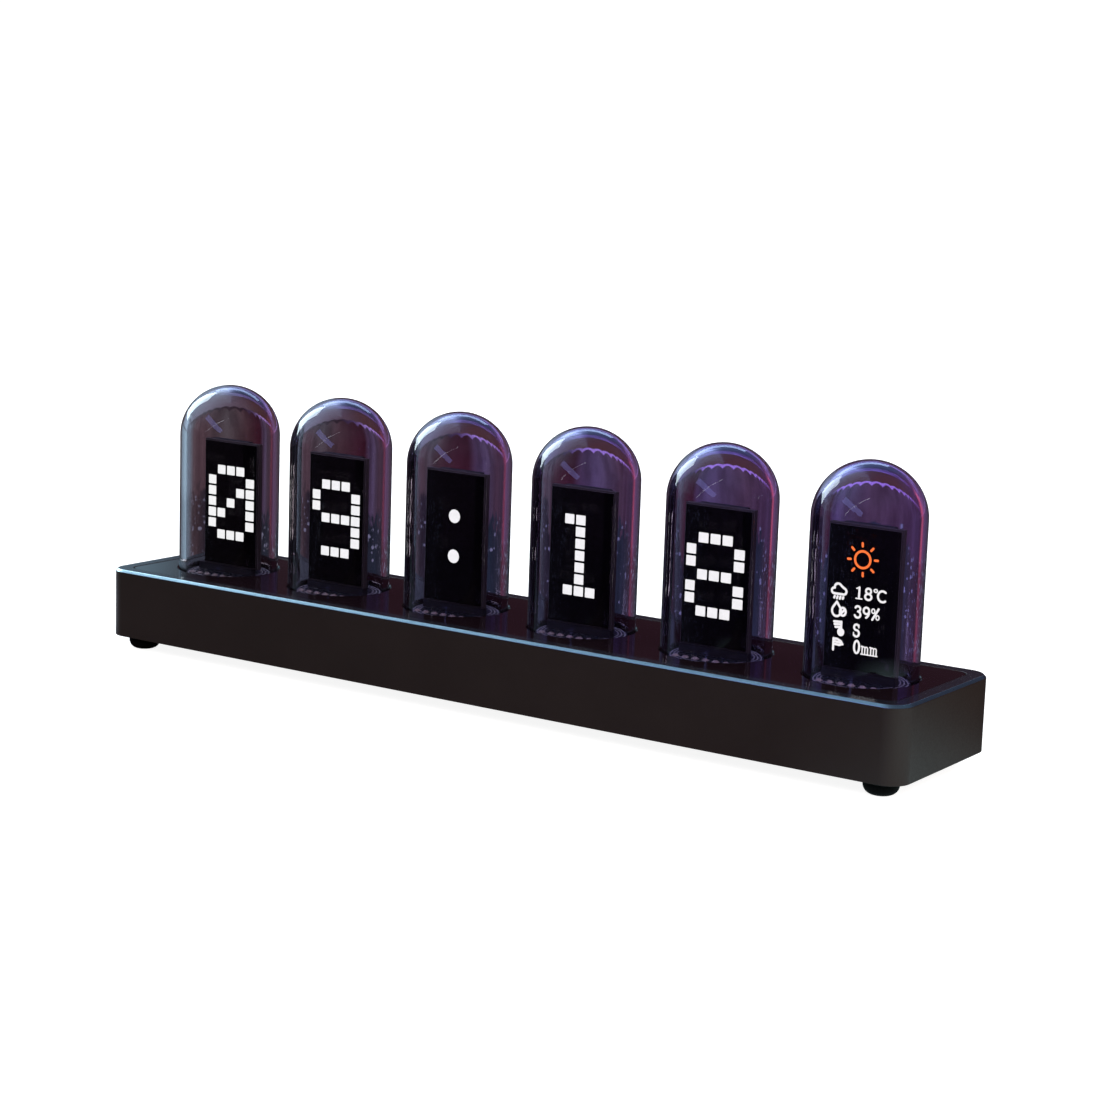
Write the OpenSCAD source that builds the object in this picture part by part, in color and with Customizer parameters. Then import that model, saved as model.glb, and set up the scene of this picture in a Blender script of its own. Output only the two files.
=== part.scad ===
// Desk clock with glass tubes: small colour screens stand under glass domes on a long low base.
// Millimetres, +Z up, +X to the right as seen from the front, +Y to the back.
// The origin lies on the table, under the middle of the base.

/* [Tubes] */
// Distance from one tube's axis to the next
tube_pitch = 36; // [34:0.5:44]
// Outer diameter of a glass tube
tube_od = 25; // [24.5:0.5:30]
// Thickness of the glass
tube_wall = 1.6; // [1:0.1:1.8]
// Height of a dome's top above the deck
tube_rise = 46.5; // [44:0.5:60]

/* [Housing] */
// Distance from an end tube's axis to the end of the housing
end_margin = 21; // [20.5:0.5:35]
// Distance from a tube to the front and back of the housing
side_margin = 9.5; // [9.5:0.5:14]
// Height of the housing walls
base_height = 17; // [17:0.5:22]
// Thickness of the housing walls, seen as the rim around the deck
wall = 3.7; // [3.4:0.1:4.2]
// Radius of the upright corners
corner_radius = 5; // [4.5:0.5:8]
// Chamfer along the top edge
edge_chamfer = 0.6; // [0.2:0.1:1.2]
// Corner radius of the deck opening
deck_corner_radius = 3; // [1.5:0.5:4]
// Thickness of the ledge that carries the tray
ledge_thickness = 1.5; // [1:0.1:2]
// Width of the ledge that carries the tray
ledge_width = 2.5; // [1.5:0.1:2.8]

/* [Deck] */
// Thickness of the gloss top panel
panel_thickness = 2; // [1.5:0.1:2.5]
// How far the panel lies below the rim
panel_drop = 0.1; // [0:0.05:0.4]
// Chamfer around the holes of the top panel
hole_chamfer = 0.3; // [0.1:0.05:0.5]
// Thickness of the tray that holds the tube seals
tray_thickness = 3; // [2.6:0.1:3.4]
// Depth of the seal seats in the tray
seal_seat_depth = 2; // [1.6:0.1:2.2]
// Thickness of the seal under the glass
seal_web = 1; // [0.6:0.1:1.2]
// Thickness of the seal around the glass
seal_wall = 1.4; // [1:0.1:1.6]

/* [Displays] */
// Width of a display module
display_width = 17.6; // [15:0.1:18.4]
// Height of a display module
display_height = 31.8; // [28:0.2:33]
// Thickness of a display module with its cover glass
display_thickness = 1.6; // [1.5:0.1:2.4]
// Thickness of a display's cover glass
cover_glass_thickness = 0.3; // [0.2:0.05:0.5]
// Bare frame left around a display's cover glass
display_bezel = 0.3; // [0.2:0.05:0.6]
// How far a display's front stands before the tube's axis
display_front = 1.8; // [1.2:0.1:2.4]
// How far the first display sits to the right of its tube's axis
first_display_shift = 1.7; // [0:0.1:1.7]
// Thickness of the bracket behind a display
bracket_thickness = 1.8; // [1.2:0.1:2.2]
// How far the bracket's sides stand in from a display's sides
bracket_inset = 2.8; // [1.4:0.1:3.4]
// Height of the bracket's lip under a display
bracket_lip = 1.8; // [0.8:0.1:2.4]
// Thickness of the bracket's foot
bracket_foot = 1.5; // [1.2:0.1:2]
// How far the carrier boards lie below the rim
carrier_drop = 1; // [0.6:0.1:1.6]
// Thickness of all circuit boards
board_thickness = 1.6; // [1:0.1:1.6]

/* [Connectors] */
// Number of pins in a display's header
header_ways = 6; // [4:1:6]
// Gap between a header's corners and the glass
header_gap = 0.431; // [0.3:0.001:1]
// Height of the plastic strip of a header
strip_height = 2.5; // [2:0.1:2.6]
// Width of the power socket's shell
usb_width = 8.94; // [8.9:0.01:9]
// Height of the power socket's shell
usb_height = 3.26; // [3.2:0.01:3.3]
// Depth of the power socket's shell
usb_depth = 8.2; // [7.2:0.1:8.6]

/* [Buttons] */
// Diameter of a push button
button_diameter = 4.8; // [4:0.1:5]
// Distance between push buttons
button_pitch = 8; // [7.6:0.1:8]
// Travel of a push button
button_travel = 0.4; // [0.2:0.05:0.6]

/* [Bottom] */
// Thickness of the bottom cover
cover_thickness = 1.6; // [1.2:0.1:2]
// Clear height between the bottom cover and the main board
board_clearance = 2.6; // [2.2:0.1:3]
// Height of a rubber foot
foot_height = 3.5; // [2.5:0.1:5]
// Diameter of a rubber foot
foot_diameter = 7.8; // [6:0.1:8.4]
// Diameter of the flat that a foot stands on
foot_flat = 3.4; // [2:0.1:4]
// Distance from the housing's end to a front foot's centre
foot_inset_x = 7; // [6.4:0.1:12]
// Distance from the housing's end to a rear foot's centre
rear_foot_inset_x = 13; // [6.4:0.1:16]
// Distance from the housing's front or back to a foot's centre
foot_inset_y = 6.3; // [6.2:0.1:8]

/* [Hidden] */
$fn = 96;
tube_count = 6;
fit = 0.2;            // gap around pieces that drop into a seat
close_fit = 0.05;     // gap around pieces that are pushed in
overcut = 1;          // how far a cut runs past a face
rim_land = 2;         // wall left around the bottom cover
header_pitch = 2.54;
pin_size = 0.64;

// Outline of the base
first_tube = -(tube_count - 1) * tube_pitch / 2;
base_length = (tube_count - 1) * tube_pitch + 2 * end_margin;
base_depth = tube_od + 2 * side_margin;
cavity_length = base_length - 2 * wall;
cavity_depth = base_depth - 2 * wall;
cover_length = base_length - 2 * rim_land;
cover_depth = base_depth - 2 * rim_land;
cover_corner = corner_radius - rim_land;

// Heights, from the table up
base_bottom = foot_height;
base_top = base_bottom + base_height;
cover_top = base_bottom + cover_thickness;
board_bottom = cover_top + board_clearance;
board_top = board_bottom + board_thickness;
panel_top = base_top - panel_drop;
panel_bottom = panel_top - panel_thickness;
tray_bottom = panel_bottom - tray_thickness;
seal_bottom = panel_bottom - seal_seat_depth;
tube_bottom = seal_bottom + seal_web;
ledge_bottom = tray_bottom - ledge_thickness;
carrier_top = base_top - carrier_drop;
carrier_bottom = carrier_top - board_thickness;
strip_bottom = carrier_bottom - strip_height;
display_bottom = carrier_top + bracket_lip;
display_top = display_bottom + display_height;
tube_top = base_top + tube_rise;

// Tubes and what stands in them
tube_radius = tube_od / 2;
tube_inner_radius = tube_radius - tube_wall;
seal_radius = tube_radius + close_fit + seal_wall;
carrier_radius = tube_inner_radius - fit;
display_back = display_thickness - display_front;
bracket_back = display_back + bracket_thickness;
display_gap = 0.25;                    // least gap from a display's corners to the glass
display_reach = sqrt((tube_inner_radius - display_gap) * (tube_inner_radius - display_gap)
                     - (display_front - cover_glass_thickness) * (display_front - cover_glass_thickness));
first_shift = min(first_display_shift, display_reach - display_width / 2);
foot_plate_width = 6;
foot_plate_gap = 1.9684;               // from the foot's corners to the edge of the carrier board
foot_plate_end = sqrt((carrier_radius - foot_plate_gap) * (carrier_radius - foot_plate_gap)
                      - foot_plate_width * foot_plate_width / 4);
rib_thickness = 0.8;
rib_inset = 0.2;
rib_rise = 8;
flex_width = 8;
flex_thickness = 0.25;
flex_post_gap = 0.55;                  // from a ribbon's end to the post behind it
flex_gap = 0.15;
header_trim = 0.84;                    // taken off the ends of a header
header_length = header_ways * header_pitch - header_trim;
strip_width = 2;
header_offset = sqrt((tube_inner_radius - header_gap) * (tube_inner_radius - header_gap)
                     - header_length * header_length / 4) - strip_width / 2;
socket_width = 2.5;
socket_height = strip_bottom - board_top;
pin_floor = 1.3;                       // left under a pin in its socket
pin_reach = socket_height - pin_floor; // how deep a pin goes into its socket
pin_tip = 0.35;                        // how far a pin and its solder stand above the carrier
solder_radius = 0.75;
solder_tip_radius = 0.46;
post_radius = 2.25;
spigot_radius = 1.5;

// Screws: thread and head sizes
screw_radius = 1.2;
small_screw_radius = 0.8;
head_radius = 2.3;
small_head_radius = 1.7;
head_height = 1.4;
small_head_height = 1.1;
cover_screw_length = 7;
board_screw_length = 4;
tray_screw_length = 3;
bracket_screw_length = 5;
recess_width = 0.6;
recess_depth = 0.6;
screw_edge = 1;                        // bracket foot left behind a screw head
screw_offset = foot_plate_end - screw_edge - small_head_radius;
flex_run = screw_offset - post_radius - flex_post_gap + display_front / 2;

// Bosses on the long walls, midway between tubes
boss_radius = 3;
boss_inset = 4.1;
boss_y = cavity_depth / 2 - boss_inset;
cover_screw_x = 2 * tube_pitch;
board_screw_x = tube_pitch;

// Main board
board_margin = 2.1;                    // clears a button's collar that is pressed home
board_end_margin = 8.8;
board_length = cavity_length - 2 * board_end_margin;
board_depth = cavity_depth - 2 * board_margin;
radio_width = 16;
radio_length = 24;
radio_thickness = 0.8;
radio_y = 1;
shield_width = 12;
shield_length = 15;
shield_height = 2.2;
shield_inset = 1.5;
cell_diameter = 12.5;
cell_thickness = 2;
holder_length = 16;
holder_width = 14;
holder_height = 3;
holder_floor = 0.6;
cell_fit = 0.15;
chip_height = 1.6;
chip_boxes = [[-4, 3, 5, 4], [4, 3, 6.5, 3.5], [0, -4, 7, 7]];

// Power socket at the back
usb_x = tube_pitch / 2;
usb_shell = 0.3;
usb_corner = 1.6;
usb_recess_width = 12.6;
usb_recess_height = 7;
usb_recess_floor = 1.5;                // wall left behind the recess
usb_recess_corner = 2.5;
usb_mouth = cavity_depth / 2 + usb_recess_floor - fit;
usb_z = board_top + usb_height / 2;
tongue_width = 6.7;
tongue_thickness = 0.7;
tongue_reach = 5;
tongue_root = 2;

// Push buttons at the back
button_count = 3;
button_x = -(radio_width / 2 + board_screw_x - boss_radius) / 2;
switch_width = 6;
switch_depth = 3.5;
switch_height = 3.5;
switch_setback = 2.8;                  // from the wall to a switch's face
switch_face = cavity_depth / 2 - switch_setback;
switch_bore = 1;
switch_overtravel = 0.6;               // depth left behind a nib that is pressed home
button_z = board_top + switch_height / 2;
button_gap = 0.05;                     // running gap around a button
button_pocket_depth = 1;
button_pocket_height = 8;
button_pocket_side = 6;
button_pocket_corner = 2;
button_proud = 0.8;                    // how far a button stands out of its pocket
collar_flange = 0.8;
collar_radius = button_diameter / 2 + collar_flange;
collar_thickness = 1.2;
collar_gap = 0.2;
nib_gap = 0.1;
nib_radius = switch_bore - nib_gap;
nib_reach = 0.6;
switch_bore_depth = nib_reach + button_travel + switch_overtravel;
button_dish = 0.25;

function tube_x(i) = first_tube + (i - 1) * tube_pitch;
function pin_x(k) = (k - (header_ways - 1) / 2) * header_pitch;
function place_x(i) = button_x + (i - (button_count - 1) / 2) * button_pitch;

// Repeated shapes

module round_rect(l, d, r) {
    square([l - 2 * r, d], center = true);
    square([l, d - 2 * r], center = true);
    for (sx = [-1, 1], sy = [-1, 1])
        translate([sx * (l / 2 - r), sy * (d / 2 - r)]) circle(r);
}

// A round-cornered slab whose top edge is chamfered all round
module chamfered_slab(l, d, h, r, c) {
    linear_extrude(h - c) round_rect(l, d, r);
    translate([0, 0, h - c]) {
        for (sx = [-1, 1], sy = [-1, 1])
            translate([sx * (l / 2 - r), sy * (d / 2 - r), 0]) cylinder(h = c, r1 = r, r2 = r - c);
        rotate([90, 0, 90]) linear_extrude(l - 2 * r, center = true)
            polygon([[-d / 2, 0], [d / 2, 0], [d / 2 - c, c], [-d / 2 + c, c]]);
        rotate([90, 0, 0]) linear_extrude(d - 2 * r, center = true)
            polygon([[-l / 2, 0], [l / 2, 0], [l / 2 - c, c], [-l / 2 + c, c]]);
    }
}

// An outline in the XZ plane, drawn out along Y from y0 to y1
module along_y(y0, y1) {
    translate([0, y1, 0]) rotate([90, 0, 0]) linear_extrude(y1 - y0) children();
}

// A box given by its centre in X and Y and its lowest height
module block(x, y, z, size) {
    translate([x - size[0] / 2, y - size[1] / 2, z]) cube(size);
}

module at_tubes() {
    for (i = [1 : tube_count]) translate([tube_x(i), 0, 0]) children();
}

module at_corners(x, y) {
    for (sx = [-1, 1], sy = [-1, 1]) translate([sx * x, sy * y, 0]) children();
}

// A cross recess cut downwards into a screw head whose face is at z = 0
module cross_recess(size) {
    block(0, 0, -recess_depth, [size, recess_width, recess_depth + overcut]);
    block(0, 0, -recess_depth, [recess_width, size, recess_depth + overcut]);
}

// A screw with a flat countersunk head; its face is at z = 0 and its thread points down
module countersunk_screw(length) {
    difference() {
        rotate_extrude() polygon([
            [0, 0], [head_radius, 0], [screw_radius, screw_radius - head_radius],
            [screw_radius, -length], [0, -length]
        ]);
        cross_recess(head_radius);
    }
}

// A screw with a raised head; the head sits on z = 0 and its thread points down
module pan_screw(radius, length, head_r, head_h) {
    difference() {
        rotate_extrude() polygon([
            [0, head_h], [head_r * 0.7, head_h], [head_r, head_h * 0.5], [head_r, 0],
            [radius, 0], [radius, -length], [0, -length]
        ]);
        translate([0, 0, head_h]) cross_recess(head_r);
    }
}

// The hole for a countersunk screw, cut downwards from z = 0
module countersunk_hole(depth) {
    rotate_extrude() polygon([
        [0, overcut], [head_radius + fit, overcut], [head_radius + fit, 0],
        [screw_radius + fit, screw_radius - head_radius], [screw_radius + fit, -depth], [0, -depth]
    ]);
}

// Housing

module boss(bottom) {
    height = ledge_bottom - bottom;
    at_side = boss_inset + ledge_width / 2;
    translate([0, 0, bottom]) cylinder(h = height + ledge_thickness, r = boss_radius);
    translate([-boss_radius, 0, bottom]) cube([2 * boss_radius, at_side, height + ledge_thickness]);
}

module bosses(x, bottom) {
    for (sx = [-1, 1]) {
        translate([sx * x, boss_y, 0]) boss(bottom);
        translate([sx * x, -boss_y, 0]) mirror([0, 1, 0]) boss(bottom);
    }
}

module pilot(x, y, from, depth) {
    translate([x, y, from]) cylinder(h = depth, r = screw_radius + close_fit);
}

module back_openings() {
    back = base_depth / 2;
    // Recess and slot of the power socket
    translate([usb_x, 0, usb_z]) {
        along_y(cavity_depth / 2 + usb_recess_floor, back + overcut)
            round_rect(usb_recess_width, usb_recess_height, usb_recess_corner);
        along_y(cavity_depth / 2 - ledge_width - overcut, back)
            round_rect(usb_width + 2 * fit, usb_height + 2 * fit, usb_corner + fit);
    }
    // Pocket and holes of the push buttons
    translate([button_x, 0, button_z])
        along_y(back - button_pocket_depth, back + overcut)
            round_rect((button_count - 1) * button_pitch + 2 * button_pocket_side,
                       button_pocket_height, button_pocket_corner);
    for (i = [0 : button_count - 1])
        translate([place_x(i), back, button_z]) rotate([90, 0, 0])
            cylinder(h = wall + overcut, r = button_diameter / 2 + button_gap);
    collar_room();
}

// Room for the buttons' collars at the ledge
module collar_room() {
    for (i = [0 : button_count - 1])
        translate([place_x(i), cavity_depth / 2, button_z]) rotate([90, 0, 0])
            cylinder(h = ledge_width + overcut, r = collar_radius + fit);
}

module base_housing() {
    color("#241f20") difference() {
        union() {
            difference() {
                translate([0, 0, base_bottom])
                    chamfered_slab(base_length, base_depth, base_height, corner_radius, edge_chamfer);
                translate([0, 0, base_bottom - overcut]) linear_extrude(base_height + 2 * overcut)
                    round_rect(cavity_length, cavity_depth, deck_corner_radius);
            }
            translate([0, 0, ledge_bottom]) linear_extrude(ledge_thickness) difference() {
                round_rect(cavity_length + wall, cavity_depth + wall, deck_corner_radius);
                square([cavity_length - 2 * ledge_width, cavity_depth - 2 * ledge_width], center = true);
            }
            bosses(cover_screw_x, cover_top);
            bosses(board_screw_x, board_top);
        }
        translate([0, 0, base_bottom - overcut]) linear_extrude(cover_thickness + overcut)
            round_rect(cover_length, cover_depth, cover_corner);
        for (sx = [-1, 1], sy = [-1, 1]) {
            pilot(sx * cover_screw_x, sy * boss_y, cover_top - overcut,
                  cover_screw_length - cover_thickness + overcut);
            pilot(sx * board_screw_x, sy * boss_y, board_top - overcut,
                  board_screw_length - board_thickness + overcut);
            pilot(sx * cover_screw_x, sy * boss_y, tray_bottom - tray_screw_length + overcut,
                  tray_screw_length);
        }
        back_openings();
    }
}

module bottom_cover() {
    color("#1d1b1c") difference() {
        translate([0, 0, base_bottom]) linear_extrude(cover_thickness)
            round_rect(cover_length - 2 * fit, cover_depth - 2 * fit, cover_corner - fit);
        at_corners(cover_screw_x, boss_y)
            translate([0, 0, base_bottom]) mirror([0, 0, 1]) countersunk_hole(cover_thickness + overcut);
    }
}

module cover_screws() {
    color("dimgray") at_corners(cover_screw_x, boss_y)
        translate([0, 0, base_bottom]) mirror([0, 0, 1]) countersunk_screw(cover_screw_length);
}

module rubber_feet() {
    y = base_depth / 2 - foot_inset_y;
    color("#0d0c0c") for (side = [-1, 1]) {
        translate([side * (base_length / 2 - foot_inset_x), -y, 0]) rubber_foot();
        translate([side * (base_length / 2 - rear_foot_inset_x), y, 0]) rubber_foot();
    }
}

// A straight-sided foot whose lower edge is rounded
module rubber_foot() {
    flat_radius = foot_flat / 2;
    radius = foot_diameter / 2;
    edge = radius - flat_radius;
    rotate_extrude() intersection() {
        union() {
            square([flat_radius, foot_height]);
            translate([0, edge]) square([radius, foot_height - edge]);
            translate([flat_radius, edge]) circle(edge);
        }
        square([radius, foot_height]);
    }
}

// Deck

module top_panel() {
    hole = tube_radius + fit;
    color("#120d10") difference() {
        translate([0, 0, panel_bottom]) linear_extrude(panel_thickness)
            round_rect(cavity_length - 2 * fit, cavity_depth - 2 * fit, deck_corner_radius);
        at_tubes() {
            translate([0, 0, panel_bottom - overcut]) cylinder(h = panel_thickness + 2 * overcut, r = hole);
            translate([0, 0, panel_top - hole_chamfer])
                cylinder(h = hole_chamfer, r1 = hole, r2 = hole + hole_chamfer);
        }
    }
}

module tube_tray() {
    color("#1b1b1d") difference() {
        translate([0, 0, tray_bottom]) linear_extrude(tray_thickness)
            round_rect(cavity_length - 2 * fit, cavity_depth - 2 * fit, deck_corner_radius);
        at_tubes() {
            translate([0, 0, tray_bottom - overcut])
                cylinder(h = tray_thickness + overcut, r = tube_inner_radius);
            translate([0, 0, seal_bottom])
                cylinder(h = seal_seat_depth + overcut, r = seal_radius + close_fit);
        }
        at_corners(cover_screw_x, boss_y)
            translate([0, 0, panel_bottom]) countersunk_hole(tray_thickness + overcut);
        collar_room();
    }
}

module tray_screws() {
    color("dimgray") at_corners(cover_screw_x, boss_y)
        translate([0, 0, panel_bottom]) countersunk_screw(tray_thickness + tray_screw_length - overcut - fit);
}

module tube_seals() {
    color("#5d5a66") at_tubes() rotate_extrude() polygon([
        [tube_inner_radius, seal_bottom], [seal_radius, seal_bottom], [seal_radius, panel_bottom],
        [tube_radius + close_fit, panel_bottom], [tube_radius + close_fit, tube_bottom],
        [tube_inner_radius, tube_bottom]
    ]);
}

module glass_tube(i) {
    dome_z = tube_top - tube_radius;
    color("#6a5a78", 0.35) translate([tube_x(i), 0, 0]) rotate_extrude() intersection() {
        difference() {
            union() {
                translate([0, tube_bottom]) square([tube_radius, dome_z - tube_bottom]);
                translate([0, dome_z]) circle(tube_radius);
            }
            translate([0, tube_bottom]) square([tube_inner_radius, dome_z - tube_bottom]);
            translate([0, dome_z]) circle(tube_inner_radius);
        }
        translate([0, tube_bottom]) square([tube_radius, tube_top - tube_bottom]);
    }
}

// Displays

module display(i) {
    body = display_thickness - cover_glass_thickness;
    shift = i == 1 ? first_shift : 0;
    color("#08080a") translate([tube_x(i) + shift, 0, 0]) {
        block(0, display_back - body / 2, display_bottom, [display_width, body, display_height]);
        block(0, cover_glass_thickness / 2 - display_front, display_bottom + display_bezel,
              [display_width - 2 * display_bezel, cover_glass_thickness, display_height - 2 * display_bezel]);
    }
}

module display_bracket(i) {
    rib_x = foot_plate_width / 2 - rib_inset - rib_thickness;
    rib_top = carrier_top + bracket_foot + rib_rise;
    color("#151516") translate([tube_x(i), 0, 0]) difference() {
        union() {
            block(0, display_back + bracket_thickness / 2, carrier_top,
                  [display_width - 2 * bracket_inset, bracket_thickness, bracket_lip + display_height]);
            block(0, (display_back - display_front) / 2, carrier_top,
                  [display_width, display_thickness, bracket_lip]);
            block(0, (bracket_back + foot_plate_end) / 2, carrier_top,
                  [foot_plate_width, foot_plate_end - bracket_back, bracket_foot]);
            for (x = [-rib_x - rib_thickness, rib_x])
                translate([x, 0, 0]) rotate([90, 0, 90]) linear_extrude(rib_thickness) polygon([
                    [bracket_back, carrier_top + bracket_foot], [foot_plate_end, carrier_top + bracket_foot],
                    [bracket_back, rib_top]
                ]);
        }
        block(0, flex_thickness / 2 - display_front / 2, carrier_top - overcut,
              [flex_width + 2 * flex_gap, flex_thickness + 2 * flex_gap, bracket_lip + 2 * overcut]);
        translate([0, screw_offset, carrier_top - overcut])
            cylinder(h = bracket_foot + 2 * overcut, r = small_screw_radius + fit);
    }
}

module carrier_board(i) {
    color("#0e1116") translate([tube_x(i), 0, 0]) difference() {
        translate([0, 0, carrier_bottom]) cylinder(h = board_thickness, r = carrier_radius);
        for (k = [0 : header_ways - 1])
            translate([pin_x(k), -header_offset, carrier_bottom - overcut])
                cylinder(h = board_thickness + 2 * overcut, r = pin_size / sqrt(2) + close_fit);
        block(0, flex_thickness / 2 - display_front / 2, carrier_bottom - overcut,
              [flex_width + 2 * flex_gap, flex_thickness + 2 * flex_gap, board_thickness + 2 * overcut]);
        translate([0, screw_offset, carrier_bottom - overcut])
            cylinder(h = board_thickness + 2 * overcut, r = small_screw_radius + fit);
    }
}

// A flat ribbon from under each display down through its carrier board and along the board's underside
module display_flexes() {
    color("#b5762a") at_tubes() {
        block(0, flex_thickness / 2 - display_front / 2, carrier_bottom - flex_thickness,
              [flex_width, flex_thickness, display_bottom - carrier_bottom + flex_thickness]);
        block(0, flex_run / 2 - display_front / 2, carrier_bottom - flex_thickness,
              [flex_width, flex_run, flex_thickness]);
    }
}

module bracket_screws() {
    color("silver") at_tubes() translate([0, screw_offset, carrier_top + bracket_foot])
        pan_screw(small_screw_radius, bracket_foot + board_thickness + bracket_screw_length,
                  small_head_radius, small_head_height);
}

module display_posts() {
    color("#c7a24a") at_tubes() translate([0, screw_offset, 0]) difference() {
        union() {
            translate([0, 0, board_top]) cylinder(h = carrier_bottom - board_top, r = post_radius);
            translate([0, 0, board_bottom]) cylinder(h = board_thickness, r = spigot_radius);
        }
        translate([0, 0, carrier_bottom - bracket_screw_length - fit])
            cylinder(h = bracket_screw_length + fit + overcut, r = small_screw_radius + close_fit);
    }
}

// Connectors

module header_strips() {
    hole = pin_size + 2 * close_fit;
    color("#101012") at_tubes() difference() {
        block(0, -header_offset, strip_bottom, [header_length, strip_width, strip_height]);
        for (k = [0 : header_ways - 1])
            block(pin_x(k), -header_offset, strip_bottom - overcut,
                  [hole, hole, strip_height + 2 * overcut]);
    }
}

module header_pins() {
    bottom = strip_bottom - pin_reach;
    color("#d8c27a") at_tubes() for (k = [0 : header_ways - 1]) translate([pin_x(k), -header_offset, 0]) {
        block(0, 0, bottom, [pin_size, pin_size, carrier_top + pin_tip - bottom]);
        translate([0, 0, carrier_top]) cylinder(h = pin_tip, r1 = solder_radius, r2 = solder_tip_radius);
    }
}

module header_sockets() {
    hole = pin_size + 2 * fit;
    depth = pin_reach + fit;
    color("#101012") at_tubes() difference() {
        block(0, -header_offset, board_top, [header_length, socket_width, socket_height]);
        for (k = [0 : header_ways - 1])
            block(pin_x(k), -header_offset, strip_bottom - depth, [hole, hole, depth + overcut]);
    }
}

// Main board and what sits on it

module board_notch() {
    circle(boss_radius + fit);
    translate([-boss_radius - fit, 0]) square([2 * (boss_radius + fit), boss_inset + overcut]);
}

module main_board() {
    color("#101a14") translate([0, 0, board_bottom]) linear_extrude(board_thickness) difference() {
        square([board_length, board_depth], center = true);
        for (sx = [-1, 1]) {
            translate([sx * cover_screw_x, boss_y]) board_notch();
            translate([sx * cover_screw_x, -boss_y]) mirror([0, 1]) board_notch();
        }
        for (sx = [-1, 1], sy = [-1, 1])
            translate([sx * board_screw_x, sy * boss_y]) circle(screw_radius + fit);
        for (i = [1 : tube_count]) translate([tube_x(i), screw_offset]) circle(spigot_radius + close_fit);
    }
}

module board_screws() {
    color("silver") at_corners(board_screw_x, boss_y)
        translate([0, 0, board_bottom]) mirror([0, 0, 1])
            pan_screw(screw_radius, board_screw_length - fit, head_radius, head_height);
}

module radio_board() {
    color("#1c2b22") block(0, radio_y, board_top, [radio_width, radio_length, radio_thickness]);
}

module radio_shield() {
    y = radio_y - radio_length / 2 + shield_inset + shield_length / 2;
    color("silver") block(0, y, board_top + radio_thickness, [shield_width, shield_length, shield_height]);
}

module board_chips() {
    color("#1a1a1c") for (c = chip_boxes)
        block(c[0] - tube_pitch, c[1], board_top, [c[2], c[3], chip_height]);
}

module coin_cell_holder() {
    color("#18181a") translate([tube_pitch, 0, board_top]) difference() {
        block(0, 0, 0, [holder_length, holder_width, holder_height]);
        translate([0, 0, holder_floor]) cylinder(h = holder_height, r = cell_diameter / 2 + cell_fit);
    }
}

module coin_cell() {
    color("silver") translate([tube_pitch, 0, board_top + holder_floor])
        cylinder(h = cell_thickness, r = cell_diameter / 2);
}

module usb_c_shell() {
    color("silver") translate([usb_x, 0, usb_z]) difference() {
        along_y(usb_mouth - usb_depth, usb_mouth) round_rect(usb_width, usb_height, usb_corner);
        along_y(usb_mouth - usb_depth + usb_shell, usb_mouth + overcut)
            round_rect(usb_width - 2 * usb_shell, usb_height - 2 * usb_shell, usb_corner - usb_shell);
    }
}

module usb_c_tongue() {
    back = usb_mouth - usb_depth + usb_shell;
    root_width = usb_width - 2 * usb_shell - 2 * close_fit;
    root_height = usb_height - 2 * usb_shell - 2 * close_fit;
    color("#151515") translate([usb_x, 0, usb_z]) {
        along_y(back, back + tongue_root) round_rect(root_width, root_height, usb_corner - usb_shell - close_fit);
        along_y(back, back + tongue_root + tongue_reach) square([tongue_width, tongue_thickness], center = true);
    }
}

module tact_switches() {
    color("#222224") for (i = [0 : button_count - 1]) difference() {
        block(place_x(i), switch_face - switch_depth / 2, board_top, [switch_width, switch_depth, switch_height]);
        translate([place_x(i), switch_face + overcut, button_z]) rotate([90, 0, 0])
            cylinder(h = switch_bore_depth + overcut, r = switch_bore);
    }
}

// A push button: cap, collar behind the wall, and a nib that enters its switch
module push_button(i) {
    cap_end = base_depth / 2 - button_pocket_depth + button_proud;
    collar_end = cavity_depth / 2 - collar_gap;
    nib_end = switch_face - nib_reach;
    cap_radius = button_diameter / 2;
    color("#2a2727") translate([place_x(i), 0, button_z]) rotate([-90, 0, 0]) rotate_extrude() polygon([
        [0, nib_end], [nib_radius, nib_end], [nib_radius, collar_end - collar_thickness],
        [collar_radius, collar_end - collar_thickness], [collar_radius, collar_end],
        [cap_radius, collar_end], [cap_radius, cap_end - button_dish],
        [cap_radius - button_dish, cap_end], [0, cap_end]
    ]);
}

module button_mode() { push_button(2); }
module button_minus() { push_button(1); }
module button_plus() { push_button(0); }

base_housing();
top_panel();
tube_tray();
tube_seals();
tray_screws();
for (i = [1 : tube_count]) {
    glass_tube(i);
    display(i);
    display_bracket(i);
    carrier_board(i);
}
display_flexes();
bracket_screws();
display_posts();
header_strips();
header_pins();
header_sockets();
main_board();
board_screws();
radio_board();
radio_shield();
board_chips();
coin_cell();
coin_cell_holder();
usb_c_shell();
usb_c_tongue();
tact_switches();
button_mode();
button_minus();
button_plus();
bottom_cover();
cover_screws();
rubber_feet();
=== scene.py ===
import math

import bmesh
import bpy
from mathutils import Matrix, Vector


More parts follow.
